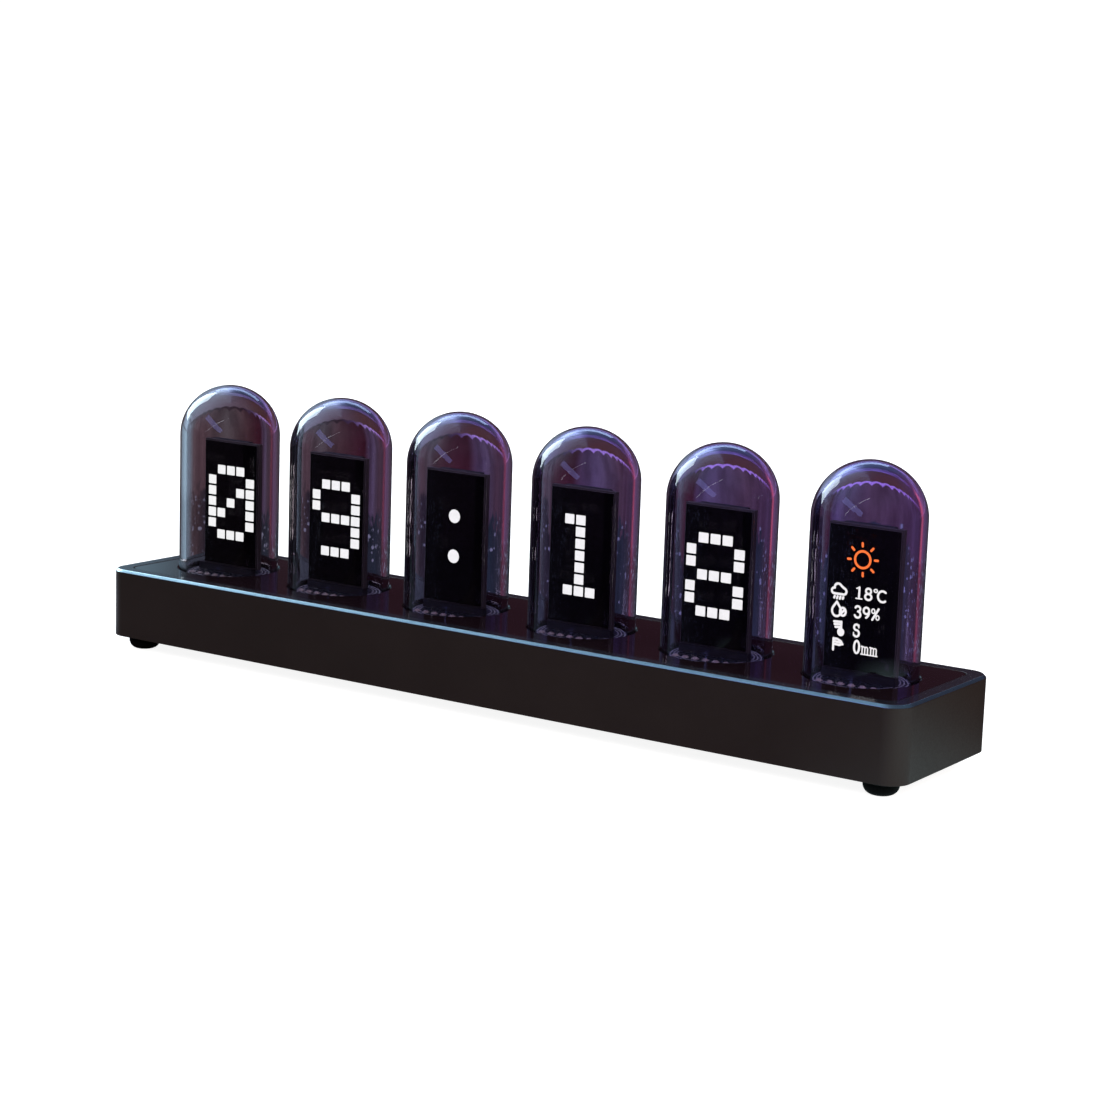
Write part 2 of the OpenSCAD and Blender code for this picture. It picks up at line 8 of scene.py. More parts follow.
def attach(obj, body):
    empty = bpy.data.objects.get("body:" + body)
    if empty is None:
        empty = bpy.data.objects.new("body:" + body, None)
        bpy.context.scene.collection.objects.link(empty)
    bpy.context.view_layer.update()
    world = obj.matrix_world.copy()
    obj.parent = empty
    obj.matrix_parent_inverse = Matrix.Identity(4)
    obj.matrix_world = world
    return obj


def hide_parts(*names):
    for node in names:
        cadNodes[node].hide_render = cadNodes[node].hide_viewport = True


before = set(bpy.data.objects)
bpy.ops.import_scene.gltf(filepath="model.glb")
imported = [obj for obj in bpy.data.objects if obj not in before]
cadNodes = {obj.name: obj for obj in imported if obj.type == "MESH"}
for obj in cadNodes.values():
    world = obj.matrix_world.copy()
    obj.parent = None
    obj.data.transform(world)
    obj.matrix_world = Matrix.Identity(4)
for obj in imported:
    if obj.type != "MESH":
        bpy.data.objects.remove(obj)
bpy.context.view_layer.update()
mm = 0.001
tubeAxes = [-90, -54, -18, 18, 54, 90]  # mm, left to right
scene = bpy.context.scene
scene.view_settings.view_transform = "Standard"
print("frame loaded:", len(cadNodes), "nodes")


# small helpers for node trees, shader and geometry alike
def addNode(tree, kind, inputs=None, **settings):
    node = tree.nodes.new(kind)
    for key, value in settings.items():
        setattr(node, key, value)
    for key, value in (inputs or {}).items():
        if isinstance(value, bpy.types.NodeSocket):
            tree.links.new(value, node.inputs[key])
        else:
            node.inputs[key].default_value = value
    return node


def treeOf(*values):
    return next(value.id_data for value in values if isinstance(value, bpy.types.NodeSocket))


def feed(node, label, socket):
    socket.id_data.links.new(socket, node.inputs[label])


def sums(operation, *values):
    node = addNode(treeOf(*values), "ShaderNodeMath", dict(enumerate(values)), operation=operation)
    return node.outputs[0]


def plus(a, b):
    return sums("ADD", a, b)


def minus(a, b):
    return sums("SUBTRACT", a, b)


def times(a, b):
    return sums("MULTIPLY", a, b)


def lengthOf(a, b):
    return sums("SQRT", plus(times(a, a), times(b, b)))


def axesOf(vector):
    return addNode(treeOf(vector), "ShaderNodeSeparateXYZ", {0: vector}).outputs


def vectorOf(*values):
    return addNode(treeOf(*values), "ShaderNodeCombineXYZ", dict(enumerate(values))).outputs[0]


def objectCoords(tree):
    return addNode(tree, "ShaderNodeTexCoord").outputs["Object"]


def spread(value, low, high, toLow=0.0, toHigh=1.0):
    inputs = {0: value, 1: low, 2: high, 3: toLow, 4: toHigh}
    return addNode(treeOf(value), "ShaderNodeMapRange", inputs, clamp=True).outputs[0]


def opaque(colour):
    return colour if isinstance(colour, bpy.types.NodeSocket) else (*colour, 1)


def blendColours(factor, first, second):
    inputs = {0: factor, 6: opaque(first), 7: opaque(second)}
    return addNode(treeOf(factor, first, second), "ShaderNodeMix", inputs, data_type="RGBA").outputs[2]


def noise(coords, scale, detail=2.0, rough=0.5):
    inputs = {"Vector": coords, "Scale": scale, "Detail": detail, "Roughness": rough}
    return addNode(treeOf(coords), "ShaderNodeTexNoise", inputs).outputs["Fac"]


def colourRamp(factor, stops):
    node = addNode(treeOf(factor), "ShaderNodeValToRGB", {0: factor})
    elements = node.color_ramp.elements
    elements.remove(elements[1])
    for k, (place, *colour) in enumerate(stops):
        stop = elements[0] if k == 0 else elements.new(place)
        stop.position, stop.color = place, opaque(colour)
    return node.outputs[0]


def addSocket(tree, label, kind="Float", side="INPUT"):
    return tree.interface.new_socket(name=label, in_out=side, socket_type="NodeSocket" + kind)


def newShaderGroup(name, inputs, outputs):
    group = bpy.data.node_groups.new(name, "ShaderNodeTree")
    for label, value in inputs:
        addSocket(group, label).default_value = value
    for label in outputs:
        addSocket(group, label, side="OUTPUT")
    return group, group.nodes.new("NodeGroupInput").outputs, group.nodes.new("NodeGroupOutput")


def newMaterial(name, **settings):
    mat = bpy.data.materials.new(name)
    mat.use_nodes = True
    shader = mat.node_tree.nodes["Principled BSDF"]
    for label, value in settings.items():
        shader.inputs[label.replace("_", " ")].default_value = value
    return mat, mat.node_tree, shader


def placeGroup(tree, group, **values):
    return addNode(tree, "ShaderNodeGroup", values, node_tree=group).outputs


def bumpInto(shader, height, strength, distance):
    inputs = {"Height": height, "Strength": strength, "Distance": distance}
    feed(shader, "Normal", addNode(treeOf(height), "ShaderNodeBump", inputs).outputs[0])


# shared surface effects
def makeGrainGroup():
    group, gin, gout = newShaderGroup(
        "fineGrain", [("Grain Scale", 2600.0), ("Blotch Scale", 45.0)], ["Grain", "Blotch"])
    coords = objectCoords(group)
    feed(gout, "Grain", noise(coords, gin["Grain Scale"], 3.0, 0.6))
    feed(gout, "Blotch", spread(noise(coords, gin["Blotch Scale"], 4.0, 0.55), 0.32, 0.68))
    return group


def makeHandlingGroup():
    # faint smears from wiping, and a few dust specks on faces that look up
    group, gin, gout = newShaderGroup(
        "handlingMarks", [("Smear Scale", 60.0), ("Speck Scale", 900.0), ("Speck Share", 0.08)],
        ["Smear", "Dust"])
    coords = objectCoords(group)
    turned = addNode(group, "ShaderNodeMapping", {
        "Vector": coords, "Rotation": (0.3, 0.2, 0.7), "Scale": (1.0, 0.25, 0.6)}).outputs[0]
    feed(gout, "Smear", spread(noise(turned, gin["Smear Scale"], 5.0, 0.6), 0.48, 0.72))
    cells = addNode(group, "ShaderNodeTexVoronoi", {"Vector": coords, "Scale": gin["Speck Scale"]}).outputs
    size = spread(noise(coords, 700.0), 0.62, 0.8)
    specks = sums("LESS_THAN", cells["Distance"], times(gin["Speck Share"], size))
    up = axesOf(addNode(group, "ShaderNodeNewGeometry").outputs["Normal"])["Z"]
    feed(gout, "Dust", times(specks, spread(up, 0.1, 0.8, 0.15, 1.0)))
    return group


fineGrain = makeGrainGroup()
handlingMarks = makeHandlingGroup()


def grainFinish(name, dark, light, roughLow, roughHigh, bump, grainScale=2600.0, depth=2e-5, **settings):
    mat, tree, shader = newMaterial(name, **settings)
    grain = placeGroup(tree, fineGrain, **{"Grain Scale": grainScale})
    feed(shader, "Base Color", blendColours(grain["Blotch"], dark, light))
    feed(shader, "Roughness", spread(grain["Grain"], 0.3, 0.7, roughLow, roughHigh))
    bumpInto(shader, grain["Grain"], bump, depth)
    return mat


def glossFinish(name, dark, light, rough, smearRough, speckShare):
    dustColour = (0.30, 0.29, 0.29)
    mat, tree, shader = newMaterial(name)
    marks = placeGroup(tree, handlingMarks, **{"Speck Share": speckShare})
    grain = placeGroup(tree, fineGrain, **{"Blotch Scale": 30.0})
    body = blendColours(grain["Blotch"], dark, light)
    feed(shader, "Base Color", blendColours(marks["Dust"], body, dustColour))
    worn = spread(marks["Smear"], 0.0, 1.0, rough, smearRough)
    dusty = spread(marks["Dust"], 0.0, 1.0, 0.0, 0.5)
    feed(shader, "Roughness", plus(worn, dusty))
    return mat


def makeCarrierMask():
    # dark blue solder mask over the carrier boards, with thin raised rings near their edge; their light
    # colour is a painted highlight
    look = dict(dark=(0.012, 0.019, 0.028), light=(0.018, 0.027, 0.038), ring=(0.32, 0.40, 0.47),
                rings=(8.55, 9.35, 10.15), width=0.16)
    mat, tree, shader = newMaterial("carrierSolderMask")
    grain = placeGroup(tree, fineGrain, **{"Grain Scale": 1400.0})
    place = axesOf(objectCoords(tree))
    pitch = (tubeAxes[1] - tubeAxes[0]) * mm
    beside = minus(sums("MODULO", plus(place["X"], 3 * pitch), pitch), pitch / 2)
    away = lengthOf(beside, place["Y"])
    mask = None
    for radius in look["rings"]:
        gap = sums("ABSOLUTE", minus(away, radius * mm))
        line = spread(gap, look["width"] * 0.6 * mm, look["width"] * mm, 1.0, 0.0)
        mask = line if mask is None else sums("MAXIMUM", mask, line)
    body = blendColours(grain["Blotch"], look["dark"], look["light"])
    # the rings' light blue-grey is painted highlight, standing in for light caught on the edges round the
    # tube foot
    feed(shader, "Base Color", blendColours(mask, body, look["ring"]))
    feed(shader, "Roughness", spread(grain["Grain"], 0.3, 0.7, 0.22, 0.32))
    bumpInto(shader, mask, 0.3, 2e-5)
    return mat


def makeTubeGlass():
    # deeper in tone where the wall is seen edge on; lamps shine through it onto what stands inside
    look = dict(leftTintAndPaintedLight=(0.56, 0.47, 0.50), rightTintAndPaintedLight=(0.56, 0.46, 0.66), leftDeepAndPaintedLight=(0.30, 0.25, 0.29),
                rightDeepAndPaintedLight=(0.33, 0.27, 0.39), shadow=(0.86, 0.80, 0.86), ior=1.47)
    mat, tree, shader = newMaterial("tubeGlass", Transmission_Weight=1.0, IOR=look["ior"])
    # the glass's own smoky tint; its drift from brownish at the clock's left end to violet at its right is
    # painted light, standing in for coloured light falling on the tubes
    across = spread(axesOf(objectCoords(tree))["X"], -0.09, 0.09)
    thin = blendColours(across, look["leftTintAndPaintedLight"], look["rightTintAndPaintedLight"])
    deep = blendColours(across, look["leftDeepAndPaintedLight"], look["rightDeepAndPaintedLight"])
    edgeOn = addNode(tree, "ShaderNodeLayerWeight", {"Blend": 0.5}).outputs["Facing"]
    marks = placeGroup(tree, handlingMarks, **{"Smear Scale": 140.0, "Speck Share": 0.0})
    feed(shader, "Base Color", blendColours(spread(edgeOn, 0.48, 0.92), thin, deep))
    feed(shader, "Roughness", spread(marks["Smear"], 0.0, 1.0, 0.0, 0.02))
    clear = addNode(tree, "ShaderNodeBsdfTransparent", {"Color": opaque(look["shadow"])})
    isShadow = addNode(tree, "ShaderNodeLightPath").outputs["Is Shadow Ray"]
    choice = addNode(tree, "ShaderNodeMixShader", {0: isShadow, 1: shader.outputs[0], 2: clear.outputs[0]})
    feed(tree.nodes["Material Output"], "Surface", choice.outputs[0])
    return mat


def makeGlow(name, left, right, strength):
    # the colour drifts along the clock as the glass before it does, where that drift is painted light
    mat, tree, shader = newMaterial(
        name, Base_Color=(0.02, 0.02, 0.02, 1), Emission_Strength=strength, Roughness=0.3)
    coords = objectCoords(tree)
    across = spread(axesOf(coords)["X"], -0.09, 0.09)
    flicker = spread(noise(coords, 900.0, 1.0), 0.3, 0.7)
    colour = blendColours(across, left, right)
    dimmer = blendColours(0.06, colour, (0.0, 0.0, 0.0))
    feed(shader, "Emission Color", blendColours(flicker, dimmer, colour))
    return mat


# finishes, by the record's slot names
slotFinish = {
    "housing_anodised": grainFinish(
        "housingAnodised", (0.0265, 0.0190, 0.0174), (0.0310, 0.0224, 0.0205), 0.36, 0.50, 0.16,
        Specular_IOR_Level=0.40),
    "panel_gloss": glossFinish(
        "panelGloss", (0.0074, 0.0036, 0.0052), (0.0088, 0.0046, 0.0064), 0.025, 0.07, 0.05),
    "tube_glass": makeTubeGlass(),
    "display_black": grainFinish(
        "screenFrame", (0.045, 0.048, 0.056), (0.060, 0.064, 0.072), 0.40, 0.55, 0.10),
    "bracket_plastic": grainFinish(
        "bracketPlastic", (0.013, 0.016, 0.023), (0.018, 0.022, 0.031), 0.40, 0.55, 0.25),
    "carrier_black": makeCarrierMask(),
    "circuit_board": grainFinish(
        "circuitBoard", (0.010, 0.040, 0.020), (0.014, 0.055, 0.028), 0.28, 0.40, 0.10, grainScale=1400.0),
    "connector_plastic": grainFinish(
        "connectorPlastic", (0.010, 0.010, 0.011), (0.015, 0.015, 0.016), 0.45, 0.60, 0.15),
    "pin_metal": grainFinish(
        "pinSolder", (0.42, 0.44, 0.48), (0.54, 0.56, 0.60), 0.22, 0.36, 0.15, Metallic=0.4),
    "brass": grainFinish(
        "brassTurned", (0.64, 0.45, 0.17), (0.72, 0.53, 0.22), 0.24, 0.36, 0.10, Metallic=1.0),
    "flex_film": grainFinish(
        "flexFilm", (0.38, 0.16, 0.03), (0.46, 0.21, 0.05), 0.28, 0.38, 0.06),
    "silicone": grainFinish(
        "siliconeSoft", (0.09, 0.085, 0.10), (0.12, 0.115, 0.13), 0.55, 0.70, 0.15),
    "inner_plastic": grainFinish(
        "trayPlastic", (0.011, 0.011, 0.012), (0.015, 0.015, 0.016), 0.50, 0.66, 0.25),
    "screw_steel": grainFinish(
        "screwBlackSteel", (0.055, 0.055, 0.06), (0.085, 0.085, 0.09), 0.30, 0.45, 0.15, Metallic=1.0),
    "shield_steel": grainFinish(
        "shieldNickel", (0.55, 0.54, 0.52), (0.66, 0.65, 0.63), 0.20, 0.32, 0.06, Metallic=1.0),
    "button_plastic": grainFinish(
        "buttonPlastic", (0.020, 0.018, 0.018), (0.026, 0.023, 0.023), 0.40, 0.55, 0.20),
    "cover_plastic": grainFinish(
        "coverMoulded", (0.013, 0.012, 0.012), (0.018, 0.016, 0.016), 0.50, 0.72, 0.60,
        grainScale=1300.0, depth=6e-5),
    "foot_rubber": grainFinish(
        "footRubber", (0.0035, 0.0028, 0.0026), (0.0055, 0.0046, 0.0042), 0.55, 0.75, 0.35,
        grainScale=1800.0, depth=4e-5, Specular_IOR_Level=0.12),
}
# the chamfer along the housing's top edge: light blue-grey metal, a painted highlight standing in for light
# caught on the rounded edge of the dark housing
chamferPaintedHighlight = grainFinish(
    "chamferHighlightPaint", (0.36, 0.49, 0.57), (0.43, 0.57, 0.65), 0.26, 0.38, 0.05,
    grainScale=5200.0, Metallic=1.0)
landSatin = grainFinish("landSatin", (0.010, 0.010, 0.014), (0.013, 0.013, 0.018), 0.14, 0.22, 0.05)
screenGlass = glossFinish(
    "screenCoverGlass", (0.0022, 0.0022, 0.0030), (0.0028, 0.0028, 0.0036), 0.04, 0.08, 0.0)
markPaint = grainFinish("markPaint", (0.32, 0.32, 0.33), (0.38, 0.38, 0.39), 0.50, 0.60, 0.05)
goldPlate = grainFinish("goldPlate", (0.80, 0.58, 0.24), (0.86, 0.64, 0.30), 0.22, 0.32, 0.05, Metallic=1.0)
glowWhite = makeGlow("glowWhite", (0.84, 1.0, 0.94), (0.84, 1.0, 0.71), 2.12)
glowOrange = makeGlow("glowOrange", (1.0, 0.22, 0.03), (1.0, 0.22, 0.03), 2.2)

for node in cadNodes.values():
    for holder in node.material_slots:
        holder.material = slotFinish[holder.material.name.split(".")[0]]
print("finishes made:", len(bpy.data.materials))


# pieces
def addObject(name, data):
    made = bpy.data.objects.new(name, data)
    scene.collection.objects.link(made)
    return made


def placePiece(name, mesh, body="clock", standsFor=()):
    piece = addObject(name, mesh)
    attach(piece, body)
    if standsFor:
        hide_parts(*standsFor)


def shape(tree, kind, inputs=None, **settings):
    return addNode(tree, "GeometryNode" + kind, inputs, **settings).outputs[0]


def joinShapes(tree, parts):
    node = addNode(tree, "GeometryNodeJoinGeometry")
    for part in parts:
        feed(node, 0, part)
    return node.outputs[0]


def scatter(tree, places, instance):
    points = shape(tree, "MeshToPoints", {"Mesh": places})
    return shape(tree, "InstanceOnPoints", {"Points": points, "Instance": instance})


def startTree(name, **inputs):
    # labels of the tree's inputs, by kind of socket
    tree = bpy.data.node_groups.new(name, "GeometryNodeTree")
    addSocket(tree, "Geometry", "Geometry")
    for kind, labels in inputs.items():
        for label in labels:
            addSocket(tree, label, kind)
    addSocket(tree, "Geometry", "Geometry", "OUTPUT")
    return tree, tree.nodes.new("NodeGroupInput").outputs


def endTree(tree, geometry, material):
    real = shape(tree, "RealizeInstances", {0: geometry})
    painted = shape(tree, "SetMaterial", {"Geometry": real, "Material": material})
    addNode(tree, "NodeGroupOutput", {0: painted})
    return tree


def settle(holder, name):
    # the mesh as the holder's modifiers leave it
    bpy.context.view_layer.update()
    mesh = bpy.data.meshes.new_from_object(holder.evaluated_get(bpy.context.evaluated_depsgraph_get()))
    bpy.data.objects.remove(holder)
    mesh.name = name
    return mesh


def growMesh(name, tree, points, values, edges=()):
    seed = bpy.data.meshes.new("seed")
    seed.from_pydata([tuple(c * mm for c in p) for p in points], list(edges), [])
    holder = addObject(name, seed)
    mod = holder.modifiers.new("grow", "NODES")
    mod.node_group = tree
    for item in tree.interface.items_tree:
        if item.in_out == "INPUT" and item.name in values:
            mod[item.identifier] = values[item.name]
    return settle(holder, name)


def meshFrom(bm, name, *materials):
    mesh = bpy.data.meshes.new(name)
    bm.to_mesh(mesh)
    bm.free()
    for material in materials:
        mesh.materials.append(material)
    return mesh


def smoothBy(mesh, degrees):
    mesh.polygons.foreach_set("use_smooth", [True] * len(mesh.polygons))
    mesh.set_sharp_from_angle(angle=math.radians(degrees))


def levelFaces(mesh, degrees=50):
    # keeps broad faces flat beside their softened edges
    smoothBy(mesh, degrees)
    holder = addObject("level", mesh)
    holder.modifiers.new("level", "WEIGHTED_NORMAL").keep_sharp = True
    return settle(holder, mesh.name)


# glass tubes: a straight wall that runs into a half dome, inside and outside, closed by the ground foot
tubeSpec = dict(outerRadius=12.5, wall=1.6, foot=17.4, top=67.0, steps=144, rings=76)


def makeTubeTree():
    tree, gin = startTree("domeTube", Float=["Outer Radius", "Wall", "Foot Height", "Top Height"],
                          Int=["Steps", "Rings"], Vector=["Place"], Material=["Glass"])
    innerRadius = minus(gin["Outer Radius"], gin["Wall"])
    straight = minus(minus(gin["Top Height"], gin["Outer Radius"]), gin["Foot Height"])

    def sheet(rule, rows):
        grid = shape(tree, "MeshGrid", {
            "Size X": 1.0, "Size Y": 1.0, "Vertices X": plus(gin["Steps"], 1.0), "Vertices Y": rows})
        here = axesOf(shape(tree, "InputPosition"))
        turn = times(plus(here["X"], 0.5), 2 * math.pi)
        radius, height = rule(plus(here["Y"], 0.5))
        there = vectorOf(times(radius, sums("COSINE", turn)), times(radius, sums("SINE", turn)), height)
        return shape(tree, "SetPosition", {"Geometry": grid, "Position": there})

    def domeRule(radius):
        def rule(along):
            run = times(along, plus(straight, times(radius, math.pi / 2)))
            lean = sums("DIVIDE", sums("MAXIMUM", minus(run, straight), 0.0), radius)
            height = plus(sums("MINIMUM", run, straight), times(radius, sums("SINE", lean)))
            return times(radius, sums("COSINE", lean)), plus(height, gin["Foot Height"])
        return rule

    def footRule(along):
        return plus(innerRadius, times(along, gin["Wall"])), gin["Foot Height"]

    outside = sheet(domeRule(gin["Outer Radius"]), gin["Rings"])
    inside = shape(tree, "FlipFaces", {0: sheet(domeRule(innerRadius), gin["Rings"])})
    joined = joinShapes(tree, [outside, inside, sheet(footRule, 3)])
    merged = shape(tree, "MergeByDistance", {"Geometry": joined, "Distance": 2e-6})
    placed = shape(tree, "Transform", {"Geometry": merged, "Translation": gin["Place"]})
    return endTree(tree, placed, gin["Glass"])


tubeTree = makeTubeTree()
for i, x in enumerate(tubeAxes, 1):
    s = tubeSpec
    mesh = growMesh("tubeGlass_%d" % i, tubeTree, [(0, 0, 0)], {
        "Outer Radius": s["outerRadius"] * mm, "Wall": s["wall"] * mm, "Foot Height": s["foot"] * mm,
        "Top Height": s["top"] * mm, "Steps": s["steps"], "Rings": s["rings"], "Place": (x * mm, 0, 0),
        "Glass": slotFinish["tube_glass"]})
    smoothBy(mesh, 50)
    placePiece("tubeGlass_%d" % i, mesh, standsFor=["glass_tube_%d" % i])
print("tubes blown:", len(tubeAxes))


# screens: a frame with a cover glass set into it, softened along every edge
screenSpec = dict(width=17.6, bottom=21.3, top=53.1, shifts={1: 1.7}, front=-1.8, back=-0.2, glass=0.3,
                  sunk=0.1, bezel=0.3, soften=0.12)


def softBlock(bm, low, high, soften, matIndex):
    made = bmesh.ops.create_cube(bm, size=1.0)
    for v in made["verts"]:
        v.co = Vector([low[k] + (v.co[k] + 0.5) * (high[k] - low[k]) for k in range(3)]) * mm
    faces = {f for v in made["verts"] for f in v.link_faces}
    edges = {e for f in faces for e in f.edges}
    for f in faces:
        f.material_index = matIndex
    bmesh.ops.bevel(bm, geom=list(edges), offset=soften * mm, segments=3, profile=0.5, affect="EDGES",
                    clamp_overlap=True)


for i, x in enumerate(tubeAxes, 1):
    s = screenSpec
    x += s["shifts"].get(i, 0)
    left, right = x - s["width"] / 2, x + s["width"] / 2
    seat = s["front"] + s["glass"]
    bm = bmesh.new()
    softBlock(bm, (left, seat, s["bottom"]), (right, s["back"], s["top"]), s["soften"], 0)
    softBlock(bm, (left + s["bezel"], s["front"], s["bottom"] + s["bezel"]),
              (right - s["bezel"], seat + s["sunk"], s["top"] - s["bezel"]), s["soften"], 1)
    mesh = meshFrom(bm, "screen_%d" % i, slotFinish["display_black"], screenGlass)
    placePiece("screen_%d" % i, levelFaces(mesh), standsFor=["display_%d" % i])

# lit cells of the four digits: five columns by seven rows
cellSpec = dict(pitchX=3.07, pitchZ=2.75, topRow=45.72, shifts={1: 1.95, 2: 0.0, 4: 0.0, 5: -0.35}, size=0.82,
                corner=0.16, lift=0.03)
digitRows = {
    1: ["01110", "10001", "10011", "10101", "11001", "10001", "01110"],
    2: ["01110", "10001", "10001", "01111", "00001", "00001", "01110"],
    4: ["01100", "00100", "00100", "00100", "00100", "00100", "01110"],
    5: ["01110", "10001", "10001", "01110", "10001", "10001", "01110"],
}


def makeCellTree():
    tree, gin = startTree("litCells", Float=["Width", "Height", "Corner", "Lift"], Material=["Glow"])
    outline = shape(tree, "CurvePrimitiveQuadrilateral", {"Width": gin["Width"], "Height": gin["Height"]})
    rounded = shape(tree, "FilletCurve", {"Curve": outline, "Count": 3, "Radius": gin["Corner"]}, mode="POLY")
    face = shape(tree, "FillCurve", {"Curve": rounded}, mode="NGONS")
    tile = shape(tree, "ExtrudeMesh", {"Mesh": face, "Offset Scale": gin["Lift"]})
    upright = shape(tree, "Transform", {"Geometry": tile, "Rotation": (math.pi / 2, 0, 0)})
    return endTree(tree, scatter(tree, gin["Geometry"], upright), gin["Glow"])


cellTree = makeCellTree()


def lightCells(name, points, width, height, corner):
    mesh = growMesh(name, cellTree, points, {
        "Width": width * mm, "Height": height * mm, "Corner": corner * mm, "Lift": cellSpec["lift"] * mm,
        "Glow": glowWhite})
    placePiece(name, mesh)


for i, rows in digitRows.items():
    c = cellSpec
    middle = tubeAxes[i - 1] + c["shifts"][i]
    points = [(middle + (k - 2) * c["pitchX"], screenSpec["front"], c["topRow"] - r * c["pitchZ"])
              for r, row in enumerate(rows) for k, lit in enumerate(row) if lit == "1"]
    lightCells("digit_%d" % i, points, c["size"] * c["pitchX"], c["size"] * c["pitchZ"], c["corner"])

# the two dots between hours and minutes
dotSpec = dict(diameter=3.3, corner=0.499, offset=0.2, heights=(42.4, 32.8))
points = [(tubeAxes[2] + dotSpec["offset"], screenSpec["front"], z) for z in dotSpec["heights"]]
across = dotSpec["diameter"]
lightCells("digit_3", points, across, across, dotSpec["corner"] * across)
print("digits lit")


# weather page: line drawings swept along their paths, then pressed flat on the glass
def arc(cx, cz, rx, rz, start, end, count=14):
    turns = [math.radians(start + (end - start) * k / count) for k in range(count + 1)]
    return [(cx + rx * math.cos(a), cz + rz * math.sin(a)) for a in turns]


def loop(cx, cz, rx, rz, count=14):
    return arc(cx, cz, rx, rz, 0, 360, count)


def makeStrokeTree():
    tree, gin = startTree("drawnLines", Float=["Line Width", "Flatten"], Vector=["Place"], Material=["Glow"])
    half = times(gin["Line Width"], 0.5)
    path = shape(tree, "MeshToCurve", {0: gin["Geometry"]})
    pen = shape(tree, "CurvePrimitiveCircle", {"Resolution": 8, "Radius": half})
    line = shape(tree, "CurveToMesh", {"Curve": path, "Profile Curve": pen, "Fill Caps": True})
    dot = shape(tree, "MeshUVSphere", {"Segments": 10, "Rings": 4, "Radius": half})
    turned = shape(tree, "Transform", {"Geometry": dot, "Rotation": (math.pi / 2, 0, 0)})
    joined = joinShapes(tree, [line, scatter(tree, gin["Geometry"], turned)])
    real = shape(tree, "RealizeInstances", {0: joined})
    squeeze = vectorOf(1.0, gin["Flatten"], 1.0)
    pressed = shape(tree, "Transform", {"Geometry": real, "Scale": squeeze, "Translation": gin["Place"]})
    return endTree(tree, pressed, gin["Glow"])


strokeTree = makeStrokeTree()
# glyphs in a box one unit tall: heavy strokes, fine strokes and the step to the next glyph
glyphs = {
    "1": ([[(0.26, 0.04), (0.26, 0.96)]], [[(0.26, 0.96), (0.08, 0.84)], [(0.06, 0.02), (0.46, 0.02)]], 0.58),
    "8": ([loop(0.29, 0.74, 0.17, 0.22, 20), loop(0.29, 0.27, 0.21, 0.25, 22)], [], 0.64),
    "deg": ([], [loop(0.12, 0.86, 0.11, 0.12)], 0.20),
    "C": ([arc(0.38, 0.46, 0.30, 0.45, 52, 308, 22)], [], 0.72),
    "3": ([arc(0.26, 0.74, 0.18, 0.22, 160, -80, 16), arc(0.26, 0.27, 0.21, 0.26, 85, -160, 18)], [], 0.60),
    "9": ([loop(0.28, 0.68, 0.20, 0.27, 20), arc(0.10, 0.62, 0.38, 0.58, 10, -62, 12)], [], 0.62),
    "%": ([[(0.10, 0.02), (0.52, 0.96)]], [loop(0.15, 0.74, 0.11, 0.18), loop(0.47, 0.24, 0.11, 0.18)], 0.66),
    "S": ([arc(0.29, 0.73, 0.18, 0.22, 40, 250) + arc(0.29, 0.27, 0.20, 0.25, 75, -140, 16)],
          [[(0.46, 0.72), (0.46, 0.94)], [(0.09, 0.08), (0.09, 0.30)]], 0.60),
    "0": ([loop(0.28, 0.49, 0.20, 0.46, 26)], [], 0.62),
    "m": ([], [[(0.10, 0.02), (0.10, 0.58)], [(0.31, 0.02), (0.31, 0.46)], [(0.52, 0.02), (0.52, 0.46)],
               arc(0.205, 0.46, 0.105, 0.12, 180, 0, 8), arc(0.415, 0.46, 0.105, 0.12, 180, 0, 8),
               [(0.02, 0.02), (0.18, 0.02)], [(0.24, 0.02), (0.38, 0.02)], [(0.45, 0.02), (0.60, 0.02)],
               [(0.02, 0.60), (0.10, 0.60)]], 0.66),
}
weatherSpec = dict(heavy=0.48, fine=0.29, iconLine=0.52, sunLine=0.52, sunPlace=(-0.15, 45.8), sunRadius=1.80,
                   rayFrom=2.85, rayTo=3.52, rays=8, rayTurn=0.06, flatten=0.08)
# each row: its glyphs, left end, baseline, height, and width in proportion to height
weatherRows = [
    dict(glyphs=["1", "8", "deg", "C"], left=-1.45, baseline=37.30, height=2.60, wide=1.36),
    dict(glyphs=["3", "9", "%"], left=-1.50, baseline=33.20, height=2.60, wide=1.26),
    dict(glyphs=["S"], left=-1.65, baseline=29.05, height=2.80, wide=1.15),
    dict(glyphs=["0", "m", "m"], left=-1.30, baseline=25.45, height=2.90, wide=1.05),
]
heavyPaths, finePaths = [], []
for row in weatherRows:
    cursor = row["left"]
    tall, foot = row["height"], row["baseline"]
    stretch = tall * row["wide"]
    for glyph in row["glyphs"]:
        heavy, fine, step = glyphs[glyph]
        for store, strokes in ((heavyPaths, heavy), (finePaths, fine)):
            for stroke in strokes:
                store.append([(cursor + px * stretch, foot + pz * tall) for px, pz in stroke])
        cursor += step * stretch
